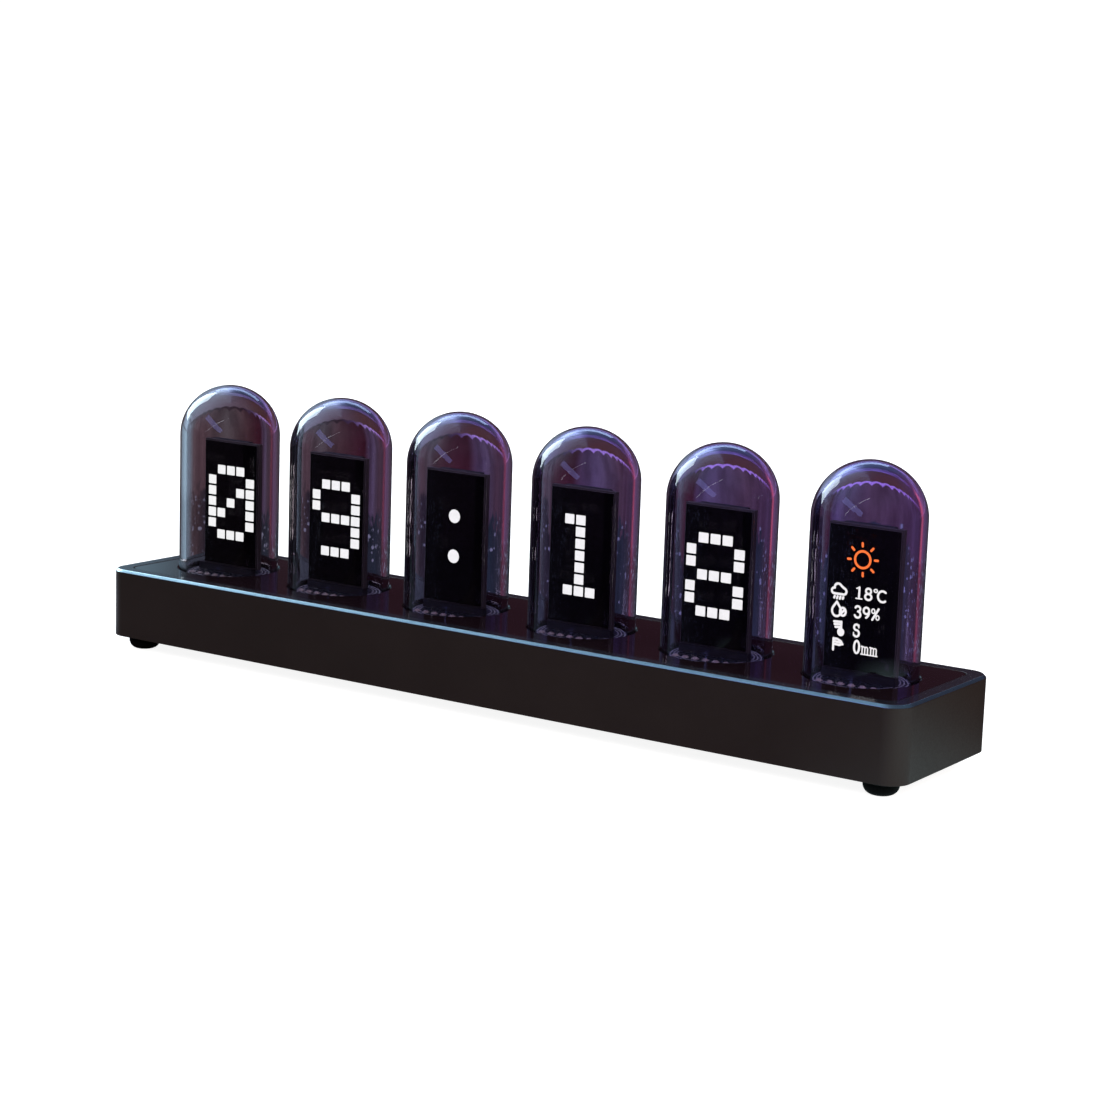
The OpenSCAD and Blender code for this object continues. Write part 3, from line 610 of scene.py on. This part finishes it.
iconPaths = [
    # cloud with rain
    arc(-6.55, 38.35, 0.62, 0.62, 270, 80, 10) + arc(-5.60, 38.95, 0.95, 1.0, 150, 35, 10)
    + arc(-4.20, 38.40, 0.62, 0.66, 80, -90, 10) + [(-6.55, 37.73)],
    [(-6.35, 37.15), (-6.50, 36.80)], [(-5.65, 37.15), (-5.80, 36.72)], [(-4.95, 37.15), (-5.10, 36.72)],
    [(-4.25, 37.15), (-4.40, 36.80)],
    # drop beside a ring
    [(-5.75, 36.00)] + arc(-5.75, 34.05, 1.10, 1.20, 140, 400, 18) + [(-5.75, 36.00)],
    loop(-4.20, 34.00, 0.70, 0.85, 16), [(-4.45, 33.75), (-3.95, 34.30)],
    # three bars on a stem with a round foot
    [(-6.20, 31.65), (-4.40, 31.75)], [(-6.05, 31.10), (-4.40, 31.20)], [(-5.80, 30.50), (-4.40, 30.60)],
    [(-4.40, 31.80), (-4.40, 30.20)], loop(-4.45, 29.55, 0.62, 0.66, 16), loop(-4.45, 29.55, 0.25, 0.27, 8),
    # flag on a pole
    [(-6.10, 25.50), (-6.10, 28.00)],
    [(-6.10, 27.90), (-5.20, 27.95), (-4.20, 27.50), (-3.85, 26.95), (-4.60, 26.70), (-6.10, 26.80)],
    [(-5.80, 27.35), (-4.40, 27.25)],
]
sunX, sunZ = weatherSpec["sunPlace"]
sunPaths = [loop(sunX, sunZ, weatherSpec["sunRadius"], weatherSpec["sunRadius"], 40)]
for k in range(weatherSpec["rays"]):
    a = k * 2 * math.pi / weatherSpec["rays"] + weatherSpec["rayTurn"]
    ends = (weatherSpec["rayFrom"], weatherSpec["rayTo"])
    sunPaths.append([(sunX + r * math.cos(a), sunZ + r * math.sin(a)) for r in ends])


def drawPaths(name, paths, width, glow):
    points, edges = [], []
    for path in paths:
        edges += [(len(points) + k, len(points) + k + 1) for k in range(len(path) - 1)]
        points += [(px, 0, pz) for px, pz in path]
    mesh = growMesh(name, strokeTree, points, {
        "Line Width": width * mm, "Flatten": weatherSpec["flatten"], "Glow": glow,
        "Place": (tubeAxes[5] * mm, screenSpec["front"] * mm, 0)}, edges)
    placePiece(name, mesh)


drawPaths("weatherFigures", heavyPaths, weatherSpec["heavy"], glowWhite)
drawPaths("weatherFineLines", finePaths, weatherSpec["fine"], glowWhite)
drawPaths("weatherIcons", iconPaths, weatherSpec["iconLine"], glowWhite)
drawPaths("weatherSun", sunPaths, weatherSpec["sunLine"], glowOrange)
print("weather page drawn")


# housing: rings of one round-cornered outline, lofted round the wall, then cut open at the back
housingSpec = dict(
    length=222, depth=44, bottom=3.5, top=20.5, corner=5.0, deckCorner=3.0, wall=3.7, chamfer=0.6,
    soften=0.10, edgeRound=0.28, coverLand=2.0, coverTop=5.1, lip=0.25, buttons=(-28.5, -20.5, -12.5),
    buttonHole=2.45, deckFrom=1.0, past=0.5, within=15, through=0.3, hair=0.001, smooth=32,
    socket=dict(x=18, z=10.93, width=12.6, height=7.0, corner=2.5, floor=19.8),
    slot=dict(width=9.34, height=3.66, corner=1.8),
    pocket=dict(x=-20.5, z=11.05, width=28, height=8, corner=2.0, floor=21.0))


def ringPoints(length, depth, radius, z, steps=14):
    points = []
    for sx, sy, start in ((1, 1, 0), (-1, 1, 90), (-1, -1, 180), (1, -1, 270)):
        cx, cy = sx * (length / 2 - radius), sy * (depth / 2 - radius)
        for k in range(steps + 1):
            a = math.radians(start + 90 * k / steps)
            points.append((cx + radius * math.cos(a), cy + radius * math.sin(a), z))
    return points


def loftRings(bm, rings, closed, finishes=None):
    loops = [[bm.verts.new(Vector(p) * mm) for p in ring] for ring in rings]
    count = len(loops[0])
    for k in range(len(loops) if closed else len(loops) - 1):
        a, b = loops[k], loops[(k + 1) % len(loops)]
        for j in range(count):
            face = bm.faces.new((a[j], a[(j + 1) % count], b[(j + 1) % count], b[j]))
            face.material_index = finishes.get(k, 0) if finishes else 0
    return loops


def housingProfile():
    # inset and height of each ring, from the deck edge outwards, down, and back up inside
    s = housingSpec
    r, c, t, b, e = (s[key] for key in ("soften", "chamfer", "top", "bottom", "edgeRound"))
    k = e * math.tan(math.radians(22.5))

    def bend(inset, height, across, upward, angles):
        turns = [math.radians(a) for a in angles]
        return [(inset + across * math.cos(a), height + upward * math.sin(a)) for a in turns]

    rows = bend(s["wall"] - r, t - r, r, r, (0, 30, 60, 90))  # inner top edge
    rows += bend(c + k, t - e, -e, e, (90, 80, 70, 60, 50, 45))  # into the chamfer
    chamferRow = len(rows) - 1
    rows += bend(e, t - c - k, -e, e, (45, 40, 30, 20, 10, 0))  # out of the chamfer
    rows += bend(r, b + r, -r, -r, (0, 30, 60, 90))  # bottom edge
    rows += [(s["coverLand"], b), (s["coverLand"], s["coverTop"]), (s["wall"], s["coverTop"])]
    # the rows round the chamfer take that painted highlight finish
    finishes = {k: 1 for k in range(chamferRow - 3, chamferRow + 4)}
    finishes[3] = 2  # the level land
    return rows, finishes


def roundBar(bm, x, z, width, height, corner, stations):
    # a round-cornered bar along y, given as (y, growth) stations
    rings = []
    for y, grow in stations:
        outline = ringPoints(width + 2 * grow, height + 2 * grow, corner + grow, 0, 8)
        rings.append([(x + px, y, z + pz) for px, pz, _ in outline])
    loops = loftRings(bm, rings, False)
    bm.faces.new(loops[0])
    bm.faces.new(list(reversed(loops[-1])))


def makeHousing():
    s = housingSpec
    anodised = slotFinish["housing_anodised"]
    rows, finishes = housingProfile()
    rings = []
    for inset, z in rows:
        radius = max(s["corner"] - inset, s["deckCorner"] if inset > s["deckFrom"] else 0.0)
        rings.append(ringPoints(s["length"] - 2 * inset, s["depth"] - 2 * inset, radius, z))
    bm = bmesh.new()
    loftRings(bm, rings, True, finishes)
    bmesh.ops.recalc_face_normals(bm, faces=bm.faces)
    shell = addObject("housingShell", meshFrom(bm, "housingShell", anodised, chamferPaintedHighlight, landSatin))
    cutters = []

    def cut(x, z, width, height, corner, stations):
        bm = bmesh.new()
        roundBar(bm, x, z, width, height, corner, stations)
        bmesh.ops.recalc_face_normals(bm, faces=bm.faces)
        cutter = addObject("cutter", meshFrom(bm, "cutter", anodised))
        cutter.hide_render = True
        cutters.append(cutter)
        mod = shell.modifiers.new("cut", "BOOLEAN")
        mod.operation, mod.solver, mod.object = "DIFFERENCE", "EXACT", cutter

    back, lip, past, within = s["depth"] / 2, s["lip"], s["past"], s["within"]
    q, w, p, hole = s["socket"], s["slot"], s["pocket"], s["buttonHole"]
    flare = [(back - lip, 0), (back + past, lip + past)]
    cut(q["x"], q["z"], q["width"], q["height"], q["corner"], [(q["floor"], 0)] + flare)
    cut(q["x"], q["z"], w["width"], w["height"], w["corner"], [(within, 0), (q["floor"] + s["through"], 0)])
    cut(p["x"], p["z"], p["width"], p["height"], p["corner"], [(p["floor"], 0)] + flare)
    for x in s["buttons"]:
        cut(x, p["z"], 2 * hole, 2 * hole, hole - s["hair"], [(within, 0), (p["floor"] + s["through"], 0)])
    done = settle(shell, "housingShell")
    for cutter in cutters:
        bpy.data.objects.remove(cutter)
    return levelFaces(done, s["smooth"])


placePiece("housingShell", makeHousing(), standsFor=["base_housing"])
print("housing lofted and cut")


# tinned rings round the solder joints of each carrier board
ringSpec = dict(outer=0.88, inner=0.70, lift=0.035, rows=[(k - 2.5) * 2.54 for k in range(6)], offset=-6.6,
                height=19.5)


def makeRingTree():
    tree, gin = startTree("solderRings", Float=["Outer Radius", "Inner Radius", "Lift"], Material=["Metal"])
    circles = [shape(tree, "CurvePrimitiveCircle", {"Resolution": 24, "Radius": gin[label]})
               for label in ("Outer Radius", "Inner Radius")]
    face = shape(tree, "FillCurve", {"Curve": joinShapes(tree, circles)}, mode="TRIANGLES")
    raised = shape(tree, "ExtrudeMesh", {"Mesh": face, "Offset Scale": gin["Lift"], "Individual": False})
    return endTree(tree, scatter(tree, gin["Geometry"], raised), gin["Metal"])


points = [(x + dx, ringSpec["offset"], ringSpec["height"]) for x in tubeAxes for dx in ringSpec["rows"]]
mesh = growMesh("solderRings", makeRingTree(), points, {
    "Outer Radius": ringSpec["outer"] * mm, "Inner Radius": ringSpec["inner"] * mm,
    "Lift": ringSpec["lift"] * mm, "Metal": slotFinish["pin_metal"]})
placePiece("solderRings", mesh)

# contacts on the power socket's tongue
contactSpec = dict(pitch=0.5, count=12, width=0.26, length=3.6, lift=0.02, x=18, z=10.93, tongue=0.7, y=16.3)


def makeContactTree():
    tree, gin = startTree("tongueContacts", Float=["Width", "Length", "Lift"], Material=["Metal"])
    bar = shape(tree, "MeshCube", {"Size": vectorOf(gin["Width"], gin["Length"], gin["Lift"])})
    return endTree(tree, scatter(tree, gin["Geometry"], bar), gin["Metal"])


c = contactSpec
apart = c["tongue"] + c["lift"]
points = [(c["x"] + (k - (c["count"] - 1) / 2) * c["pitch"], c["y"], c["z"] + side * apart / 2)
          for k in range(c["count"]) for side in (-1, 1)]
mesh = growMesh("tongueContacts", makeContactTree(), points, {
    "Width": c["width"] * mm, "Length": c["length"] * mm, "Lift": c["lift"] * mm, "Metal": goldPlate})
placePiece("tongueContacts", mesh)

# painted marks on the button caps
markSpec = dict(z=11.05, y=21.8, size=1.7, line=0.36, lift=0.03, sunk=0.05, soften=0.012, steps=32)


def placeMark(name, body, bars, ring=None):
    m = markSpec
    low, high = m["y"] - m["sunk"], m["y"] + m["lift"]
    bm = bmesh.new()
    for x0, z0, x1, z1 in bars:
        softBlock(bm, (x0, low, z0), (x1, high, z1), m["soften"], 0)
    if ring:
        x, outer = ring
        inner = outer - m["line"]
        turns = [2 * math.pi * k / m["steps"] for k in range(m["steps"])]
        rings = [[(x + r * math.cos(a), y, m["z"] + r * math.sin(a)) for a in turns]
                 for y, r in ((low, outer), (high, outer), (high, inner), (low, inner))]
        loftRings(bm, rings, True)
    bmesh.ops.recalc_face_normals(bm, faces=bm.faces)
    placePiece(name, levelFaces(meshFrom(bm, "mark", markPaint)), body=body)


h, t = markSpec["size"] / 2, markSpec["line"] / 2
plusX, minusX, modeX = housingSpec["buttons"]
z = markSpec["z"]
placeMark("plusMark", "button_plus", [
    (plusX - h, z - t, plusX + h, z + t), (plusX - t, z - h, plusX + t, z + h)])
placeMark("minusMark", "button_minus", [(minusX - h, z - t, minusX + h, z + t)])
placeMark("modeMark", "button_mode", [], (modeX, h))
print("small parts placed")


# stage: white to the camera with the shadow kept; gloss sees it dim, and glass looks past it into the room
stageSpec = dict(
    half=4.0, wall=(-0.01, 0.42), behind=3.2, sides=72, bounce=0.42, lit=(0.90, 1.02), litReach=(0.3, 0.9),
    mirroredTone=(0.030, 0.024, 0.024), mirroredFrom=(-0.05, 0.03), mirroredInFront=0.015,
    poolReach=(0.09, 0.13),
    pools=[dict(place=(0.185, -0.035), radius=0.11, colour=(0.66, 0.95, 1.0), strength=1.6),
           dict(place=(-0.162, 0.020), radius=0.065, colour=(0.80, 0.84, 1.0), strength=2.2)])


def farFrom(place, centre):
    return lengthOf(minus(place["X"], centre[0]), minus(place["Y"], centre[1]))


def makeStageMaterial():
    s = stageSpec
    mat, tree, shader = newMaterial(
        "stageWhite", Base_Color=opaque((s["bounce"],) * 3), Roughness=0.9, Specular_IOR_Level=0.0)
    place = axesOf(objectCoords(tree))
    path = addNode(tree, "ShaderNodeLightPath").outputs

    def emit(colour, strength):
        return addNode(tree, "ShaderNodeEmission", {"Color": opaque(colour), "Strength": strength}).outputs[0]

    def both(first, second):
        return addNode(tree, "ShaderNodeAddShader", {0: first, 1: second}).outputs[0]

    behind = spread(place["Y"], *s["mirroredFrom"], s["mirroredInFront"], 1.0)
    mirrored = emit(s["mirroredTone"], times(path["Is Glossy Ray"], behind))
    # pools of light beside the clock's two ends, for gloss close by
    close = spread(path["Ray Length"], *s["poolReach"], 1.0, 0.0)
    toGloss = times(path["Is Glossy Ray"], close)
    for pool in s["pools"]:
        level = spread(farFrom(place, pool["place"]), 0.0, pool["radius"], pool["strength"], 0.0)
        mirrored = both(mirrored, emit(pool["colour"], times(toGloss, level)))
    lit = spread(farFrom(place, (0, 0)), *s["litReach"], *s["lit"])
    toCamera = both(shader.outputs[0], emit((1, 1, 1), lit))
    choice = addNode(tree, "ShaderNodeMixShader", {0: path["Is Camera Ray"], 1: mirrored, 2: toCamera})
    feed(tree.nodes["Material Output"], "Surface", choice.outputs[0])
    return mat


stageWhite = makeStageMaterial()


def placeStage(name, verts, faces):
    mesh = bpy.data.meshes.new(name)
    mesh.from_pydata(verts, [], faces)
    mesh.materials.append(stageWhite)
    stage = addObject(name, mesh)
    stage.visible_transmission = False


half, radius, count = stageSpec["half"], stageSpec["behind"], stageSpec["sides"]
placeStage("floor", [(-half, -half, 0), (half, -half, 0), (half, half, 0), (-half, half, 0)], [(0, 1, 2, 3)])
turns = [2 * math.pi * k / count for k in range(count)]
ends = [(radius * math.cos(a), radius * math.sin(a), z) for z in stageSpec["wall"] for a in turns]
sides = [(k, k + count, (k + 1) % count + count, (k + 1) % count) for k in range(count)]
placeStage("backSweep", ends, sides)

# room, by turn from straight ahead in degrees: white to the camera, dim to gloss, and through the glass
# bands of colour from the low foreground up to the crown
roomSpec = dict(
    nearEdge=[(-60, -8.8), (-50, -8.7), (-44, -8.6), (-42.5, -8.9), (-41, -9.7), (-38, -10.1), (-34, -9.25),
              (-26, -9.25), (-20, -9.35), (-16, -9.55), (-13, -9.8), (0, -9.9)],
    raggedSize=(0.6, 3.0), raggedReach=1.7, raggedSoft=0.12, stripFrom=-3.5, stripTo=-2.2, stripSoft=0.15,
    scallop=1.9, scallopFrom=1.04, scallopTo=0.45, farTo=7.5, farSoft=0.2, crownReach=(0.24, 0.36),
    lowTo=-13.4, lowSoft=0.8, lowColour=(0.36, 0.32, 0.40), twiceDimmed=0.15,
    flecks=dict(size=(0.42, 8.5), share=0.22, reach=0.44, light=(0.15, 0.8), fade=(20.0, 30.0),
                colour=(0.60, 0.82, 1.08)),
    streaks=dict(size=(0.45, 0.9), detail=3.0, soft=(0.35, 0.65), share=0.35, tone=(0.0, 0.0, 0.0)),
    folds=dict(size=(0.65, 0.16), detail=3.0, soft=(0.35, 0.65), share=0.45, tone=(0.03, 0.0, 0.01)),
    bars=dict(size=(0.11, 0.26), detail=2.0, soft=(0.42, 0.58), share=0.6, tone=(0.03, 0.01, 0.05)),
    near=[(-180, 0.06, 0.06, 0.09), (-120, 0.10, 0.12, 0.16), (-90, 0.60, 1.00, 1.22),
          (-60, 0.48, 0.76, 0.92), (-54, 0.24, 0.23, 0.26), (-50, 0.20, 0.17, 0.19), (-46, 0.08, 0.08, 0.11),
          (-42, 0.070, 0.076, 0.105), (-30, 0.055, 0.100, 0.145), (-20, 0.080, 0.120, 0.160),
          (-15, 0.16, 0.15, 0.18), (4, 0.20, 0.10, 0.17), (10, 0.26, 0.10, 0.18), (14, 0.45, 0.12, 0.20),
          (18, 0.36, 0.10, 0.16), (22, 0.07, 0.045, 0.075), (100, 0.06, 0.05, 0.09),
          (180, 0.06, 0.06, 0.09)],
    middle=[(-180, 0.10, 0.09, 0.13), (-120, 0.14, 0.17, 0.22), (-90, 0.85, 1.42, 1.70),
            (-58, 0.66, 1.06, 1.28), (-53, 0.38, 0.37, 0.41), (-49, 0.38, 0.32, 0.36),
            (-46, 0.26, 0.21, 0.24), (-42, 0.26, 0.29, 0.31), (-39.5, 0.21, 0.15, 0.17),
            (-37, 0.15, 0.056, 0.090), (-34.8, 0.105, 0.032, 0.058), (-33.2, 0.27, 0.26, 0.46),
            (-30, 0.250, 0.235, 0.35), (-26.7, 0.23, 0.175, 0.235), (-18, 0.23, 0.17, 0.27),
            (-8, 0.24, 0.18, 0.31), (4, 0.28, 0.17, 0.35), (10, 0.34, 0.16, 0.31), (14, 1.00, 0.22, 0.37),
            (18, 0.85, 0.19, 0.31), (22, 0.12, 0.07, 0.12), (100, 0.09, 0.07, 0.12),
            (180, 0.10, 0.09, 0.13)],
    strip=[(-180, 0.12, 0.11, 0.18), (-50, 0.20, 0.20, 0.24), (-39, 0.06, 0.035, 0.055),
           (-36, 0.24, 0.19, 0.46), (-33.4, 1.00, 0.86, 2.00), (-22, 1.00, 0.76, 1.85),
           (-8, 0.60, 0.40, 1.00), (12, 0.8, 0.26, 0.55), (40, 0.20, 0.12, 0.30), (180, 0.12, 0.11, 0.18)],
    far=[(-180, 0.12, 0.10, 0.15), (-120, 0.20, 0.25, 0.32), (-90, 0.75, 1.2, 1.5), (-58, 0.66, 0.95, 1.2),
         (-47, 0.50, 0.62, 0.80), (-40, 0.30, 0.28, 0.36), (-36, 0.21, 0.15, 0.17),
         (-33, 0.20, 0.115, 0.100), (-20, 0.20, 0.110, 0.095), (-8, 0.24, 0.16, 0.30), (4, 0.32, 0.18, 0.40),
         (11, 0.60, 0.20, 0.40), (16, 1.0, 0.20, 0.34), (24, 0.14, 0.07, 0.12), (180, 0.12, 0.10, 0.15)],
    upper=[(-150, 0.10, 0.12, 0.16), (-100, 0.8, 1.25, 1.5), (-60, 1.1, 1.6, 1.9), (-47, 1.0, 1.4, 2.0),
           (-40, 0.65, 0.90, 1.65), (-35, 0.70, 0.68, 1.75), (-22, 0.70, 0.60, 1.60), (-8, 0.60, 0.42, 1.10),
           (6, 0.55, 0.30, 0.70), (14, 1.1, 0.24, 0.44), (22, 0.5, 0.14, 0.24), (40, 0.12, 0.06, 0.10),
           (180, 0.10, 0.10, 0.14)],
    crown=[(-150, 0.10, 0.12, 0.16), (-100, 0.6, 0.9, 1.1), (-60, 1.0, 1.5, 1.9), (-45, 0.85, 1.25, 2.0),
           (-39, 0.24, 0.34, 0.70), (-33, 0.07, 0.10, 0.24), (-10, 0.07, 0.08, 0.20), (12, 0.20, 0.06, 0.16),
           (60, 0.15, 0.05, 0.08), (180, 0.10, 0.10, 0.14)],
    mirroredLow=[(-170, 0.05, 0.045, 0.05), (-130, 0.06, 0.06, 0.07), (-95, 0.26, 0.38, 0.48),
                 (-60, 0.33, 0.53, 0.70), (-44.5, 0.27, 0.42, 0.54), (-43.4, 0.22, 0.34, 0.43),
                 (-42.1, 0.07, 0.06, 0.075), (-40.4, 0.037, 0.014, 0.021), (10, 0.029, 0.010, 0.020),
                 (90, 0.05, 0.04, 0.045)],
    mirroredHigh=[(0.26, 0.055, 0.040, 0.060), (0.40, 0.10, 0.13, 0.20), (0.66, 0.28, 0.45, 0.60),
                  (1.0, 0.28, 0.38, 0.50)],
    mirroredRise=(0.22, 0.42), mirroredRight=(0.03, 0.025, 0.04), rightReach=(-0.45, 0.05), rightShare=0.8)


def makeRoom():
    s = roomSpec
    world = bpy.data.worlds.new("studioRoom")
    scene.world = world
    world.use_nodes = True
    tree = world.node_tree
    tree.nodes.clear()
    parts = axesOf(addNode(tree, "ShaderNodeTexCoord").outputs["Generated"])
    turn = sums("DEGREES", sums("ARCTAN2", parts["X"], parts["Y"]))
    rise = sums("DEGREES", sums("ARCSINE", parts["Z"]))
    around = spread(turn, -180, 180)

    def band(label):
        return colourRamp(around, [((a + 180) / 360, *colour) for a, *colour in s[label]])

    def grid(perTurn, perRise):
        return vectorOf(times(turn, perTurn), times(rise, perRise))

    def past(value, edge, soft):
        return spread(value, edge - soft, edge + soft)

    def mottled(colours, size, detail, soft, share, tone):
        mask = spread(noise(grid(*size), 1.0, detail), *soft)
        return blendColours(mask, blendColours(share, colours, tone), colours)

    # low foreground: dark, flecked with light, lighter again towards the foot
    f = s["flecks"]
    cells = addNode(tree, "ShaderNodeTexVoronoi", {"Vector": grid(*f["size"]), "Scale": 1.0}).outputs
    chosen = axesOf(cells["Color"])[0]
    inFleck = sums("LESS_THAN", cells["Distance"], spread(chosen, f["share"], 1.0, 0.0, f["reach"]))
    bright = times(spread(chosen, f["share"], 1.0, *f["light"]), spread(turn, *f["fade"], 1.0, 0.0))
    near = blendColours(times(inFleck, bright), mottled(band("near"), **s["streaks"]), f["colour"])
    near = blendColours(past(rise, s["lowTo"], s["lowSoft"]), s["lowColour"], near)
    middle = mottled(band("middle"), **s["folds"])
    # ragged top of the foreground, level with the same height on every tube
    ragged = minus(noise(grid(*s["raggedSize"]), 1.0, 2.0), 0.5)
    lift = 20.0  # keeps the ramp's values above zero
    edges = [((a + 180) / 360, *[edge + lift] * 3) for a, edge in s["nearEdge"]]
    level = minus(colourRamp(around, edges), lift)
    above = plus(minus(rise, level), times(ragged, s["raggedReach"]))
    seen = blendColours(past(above, 0.0, s["raggedSoft"]), near, middle)
    # a bright strip with a scalloped edge, then the far band
    scallop = sums("ABSOLUTE", sums("SINE", times(turn, math.pi / s["scallop"])))
    for edge, wave, label in (("stripFrom", "scallopFrom", "strip"), ("stripTo", "scallopTo", "far")):
        waved = minus(rise, times(scallop, s[wave]))
        seen = blendColours(past(waved, s[edge], s["stripSoft"]), seen, band(label))
    seen = blendColours(past(rise, s["farTo"], s["farSoft"]), seen, mottled(band("upper"), **s["bars"]))
    seen = blendColours(spread(parts["Z"], *s["crownReach"]), seen, band("crown"))
    # what gloss mirrors: dark behind, blue on the left, lighter overhead
    toRight = spread(parts["X"], *s["rightReach"], 0.0, s["rightShare"])
    high = blendColours(toRight, colourRamp(parts["Z"], s["mirroredHigh"]), s["mirroredRight"])
    mirrored = blendColours(spread(parts["Z"], *s["mirroredRise"]), band("mirroredLow"), high)
    # what is seen through both walls of a tube by way of a mirror, as on the deck, is dimmer
    path = addNode(tree, "ShaderNodeLightPath").outputs
    walls = sums("GREATER_THAN", path["Transmission Depth"], 2.5)
    once = times(sums("MINIMUM", path["Glossy Depth"], 1.0), walls)
    again = sums("GREATER_THAN", path["Glossy Depth"], 1.5)
    twice = times(sums("MAXIMUM", once, again), path["Is Transmission Ray"])
    dimmed = spread(twice, 0.0, 1.0, 1.0, s["twiceDimmed"])
    colour = blendColours(path["Is Transmission Ray"], mirrored, seen)
    room = addNode(tree, "ShaderNodeBackground", {"Color": colour, "Strength": dimmed})
    white = addNode(tree, "ShaderNodeBackground", {"Color": (1, 1, 1, 1), "Strength": 1.0})
    mixed = addNode(tree, "ShaderNodeMixShader", {
        0: path["Is Camera Ray"], 1: room.outputs[0], 2: white.outputs[0]})
    addNode(tree, "ShaderNodeOutputWorld", {0: mixed.outputs[0]})


makeRoom()

# lamps, all turned towards the middle of the clock
aimedAt = Vector((0, 0, 0.03))
lamps = [
    dict(name="topSoftbox", place=(-0.50, 0.05, 0.85), size=(0.7, 0.5), colour=(0.84, 0.93, 1.0), watts=4,
         mirrored=False),
    dict(name="leftSoftbox", place=(-0.72, 0.10, 0.42), size=(0.30, 0.55), colour=(0.78, 0.93, 1.0),
         watts=3.6),
    dict(name="backStrip", place=(-0.42, 0.62, 0.66), size=(0.80, 0.16), colour=(0.46, 0.60, 1.0), watts=1.6),
    dict(name="frontStreak", place=(-0.10, -0.90, 0.50), size=(0.95, 0.19), colour=(0.33, 0.36, 1.0),
         watts=1.6, turn=-28, mirrorOnly=True),
    dict(name="thinStreak", place=(-0.02, -0.90, 0.52), size=(1.2, 0.016), colour=(0.85, 0.85, 1.0),
         watts=0.26, turn=45, mirrorOnly=True),
    dict(name="frontFill", place=(0.55, -1.0, 0.80), size=(0.9, 0.6), colour=(1.0, 0.95, 0.91), watts=13.2,
         mirrored=False),
    dict(name="backFill", place=(-0.30, 1.05, 0.62), size=(0.9, 0.6), colour=(0.97, 0.97, 1.0), watts=9.0,
         mirrored=False),
    dict(name="rightFill", place=(1.0, 0.10, 0.55), size=(0.6, 0.6), colour=(1.0, 0.82, 0.70), watts=6.2,
         mirrored=False),
]
for spec in lamps:
    light = bpy.data.lights.new(spec["name"], "AREA")
    light.shape = "RECTANGLE"
    light.size, light.size_y = spec["size"]
    light.color = spec["colour"]
    light.energy = spec["watts"]
    lamp = addObject(spec["name"], light)
    lamp.location = spec["place"]
    aim = (aimedAt - Vector(spec["place"])).to_track_quat("-Z", "Y").to_matrix()
    lamp.rotation_euler = (aim @ Matrix.Rotation(math.radians(spec.get("turn", 0)), 3, "Z")).to_euler()
    lamp.visible_camera = False
    lamp.visible_transmission = False
    lamp.visible_glossy = spec.get("mirrored", True)
    lamp.visible_diffuse = not spec.get("mirrorOnly", False)
print("stage and lamps set")

# camera, solved from the photograph's edges for a 1100 by 1100 frame
cameraSpec = dict(azimuth=34.101, elevation=9.885, roll=1.945, place=(322.86, -464.22, 135.01), focal=2459.6,
                  frame=1100, sensor=36.0, clip=(0.01, 20.0))
az, el, roll = (math.radians(cameraSpec[k]) for k in ("azimuth", "elevation", "roll"))
backward = Vector((math.sin(az) * math.cos(el), -math.cos(az) * math.cos(el), math.sin(el)))
right = (-backward).cross(Vector((0, 0, 1))).normalized()
up = right.cross(-backward)
tiltRight = right * math.cos(roll) + up * math.sin(roll)
tiltUp = up * math.cos(roll) - right * math.sin(roll)
lens = bpy.data.cameras.new("photoCamera")
lens.sensor_width = cameraSpec["sensor"]
lens.lens = cameraSpec["sensor"] * cameraSpec["focal"] / cameraSpec["frame"]
lens.clip_start, lens.clip_end = cameraSpec["clip"]
camera = addObject("photoCamera", lens)
matrix = Matrix((tiltRight, tiltUp, backward)).transposed().to_4x4()
matrix.translation = Vector(cameraSpec["place"]) * mm
camera.matrix_world = matrix
scene.camera = camera
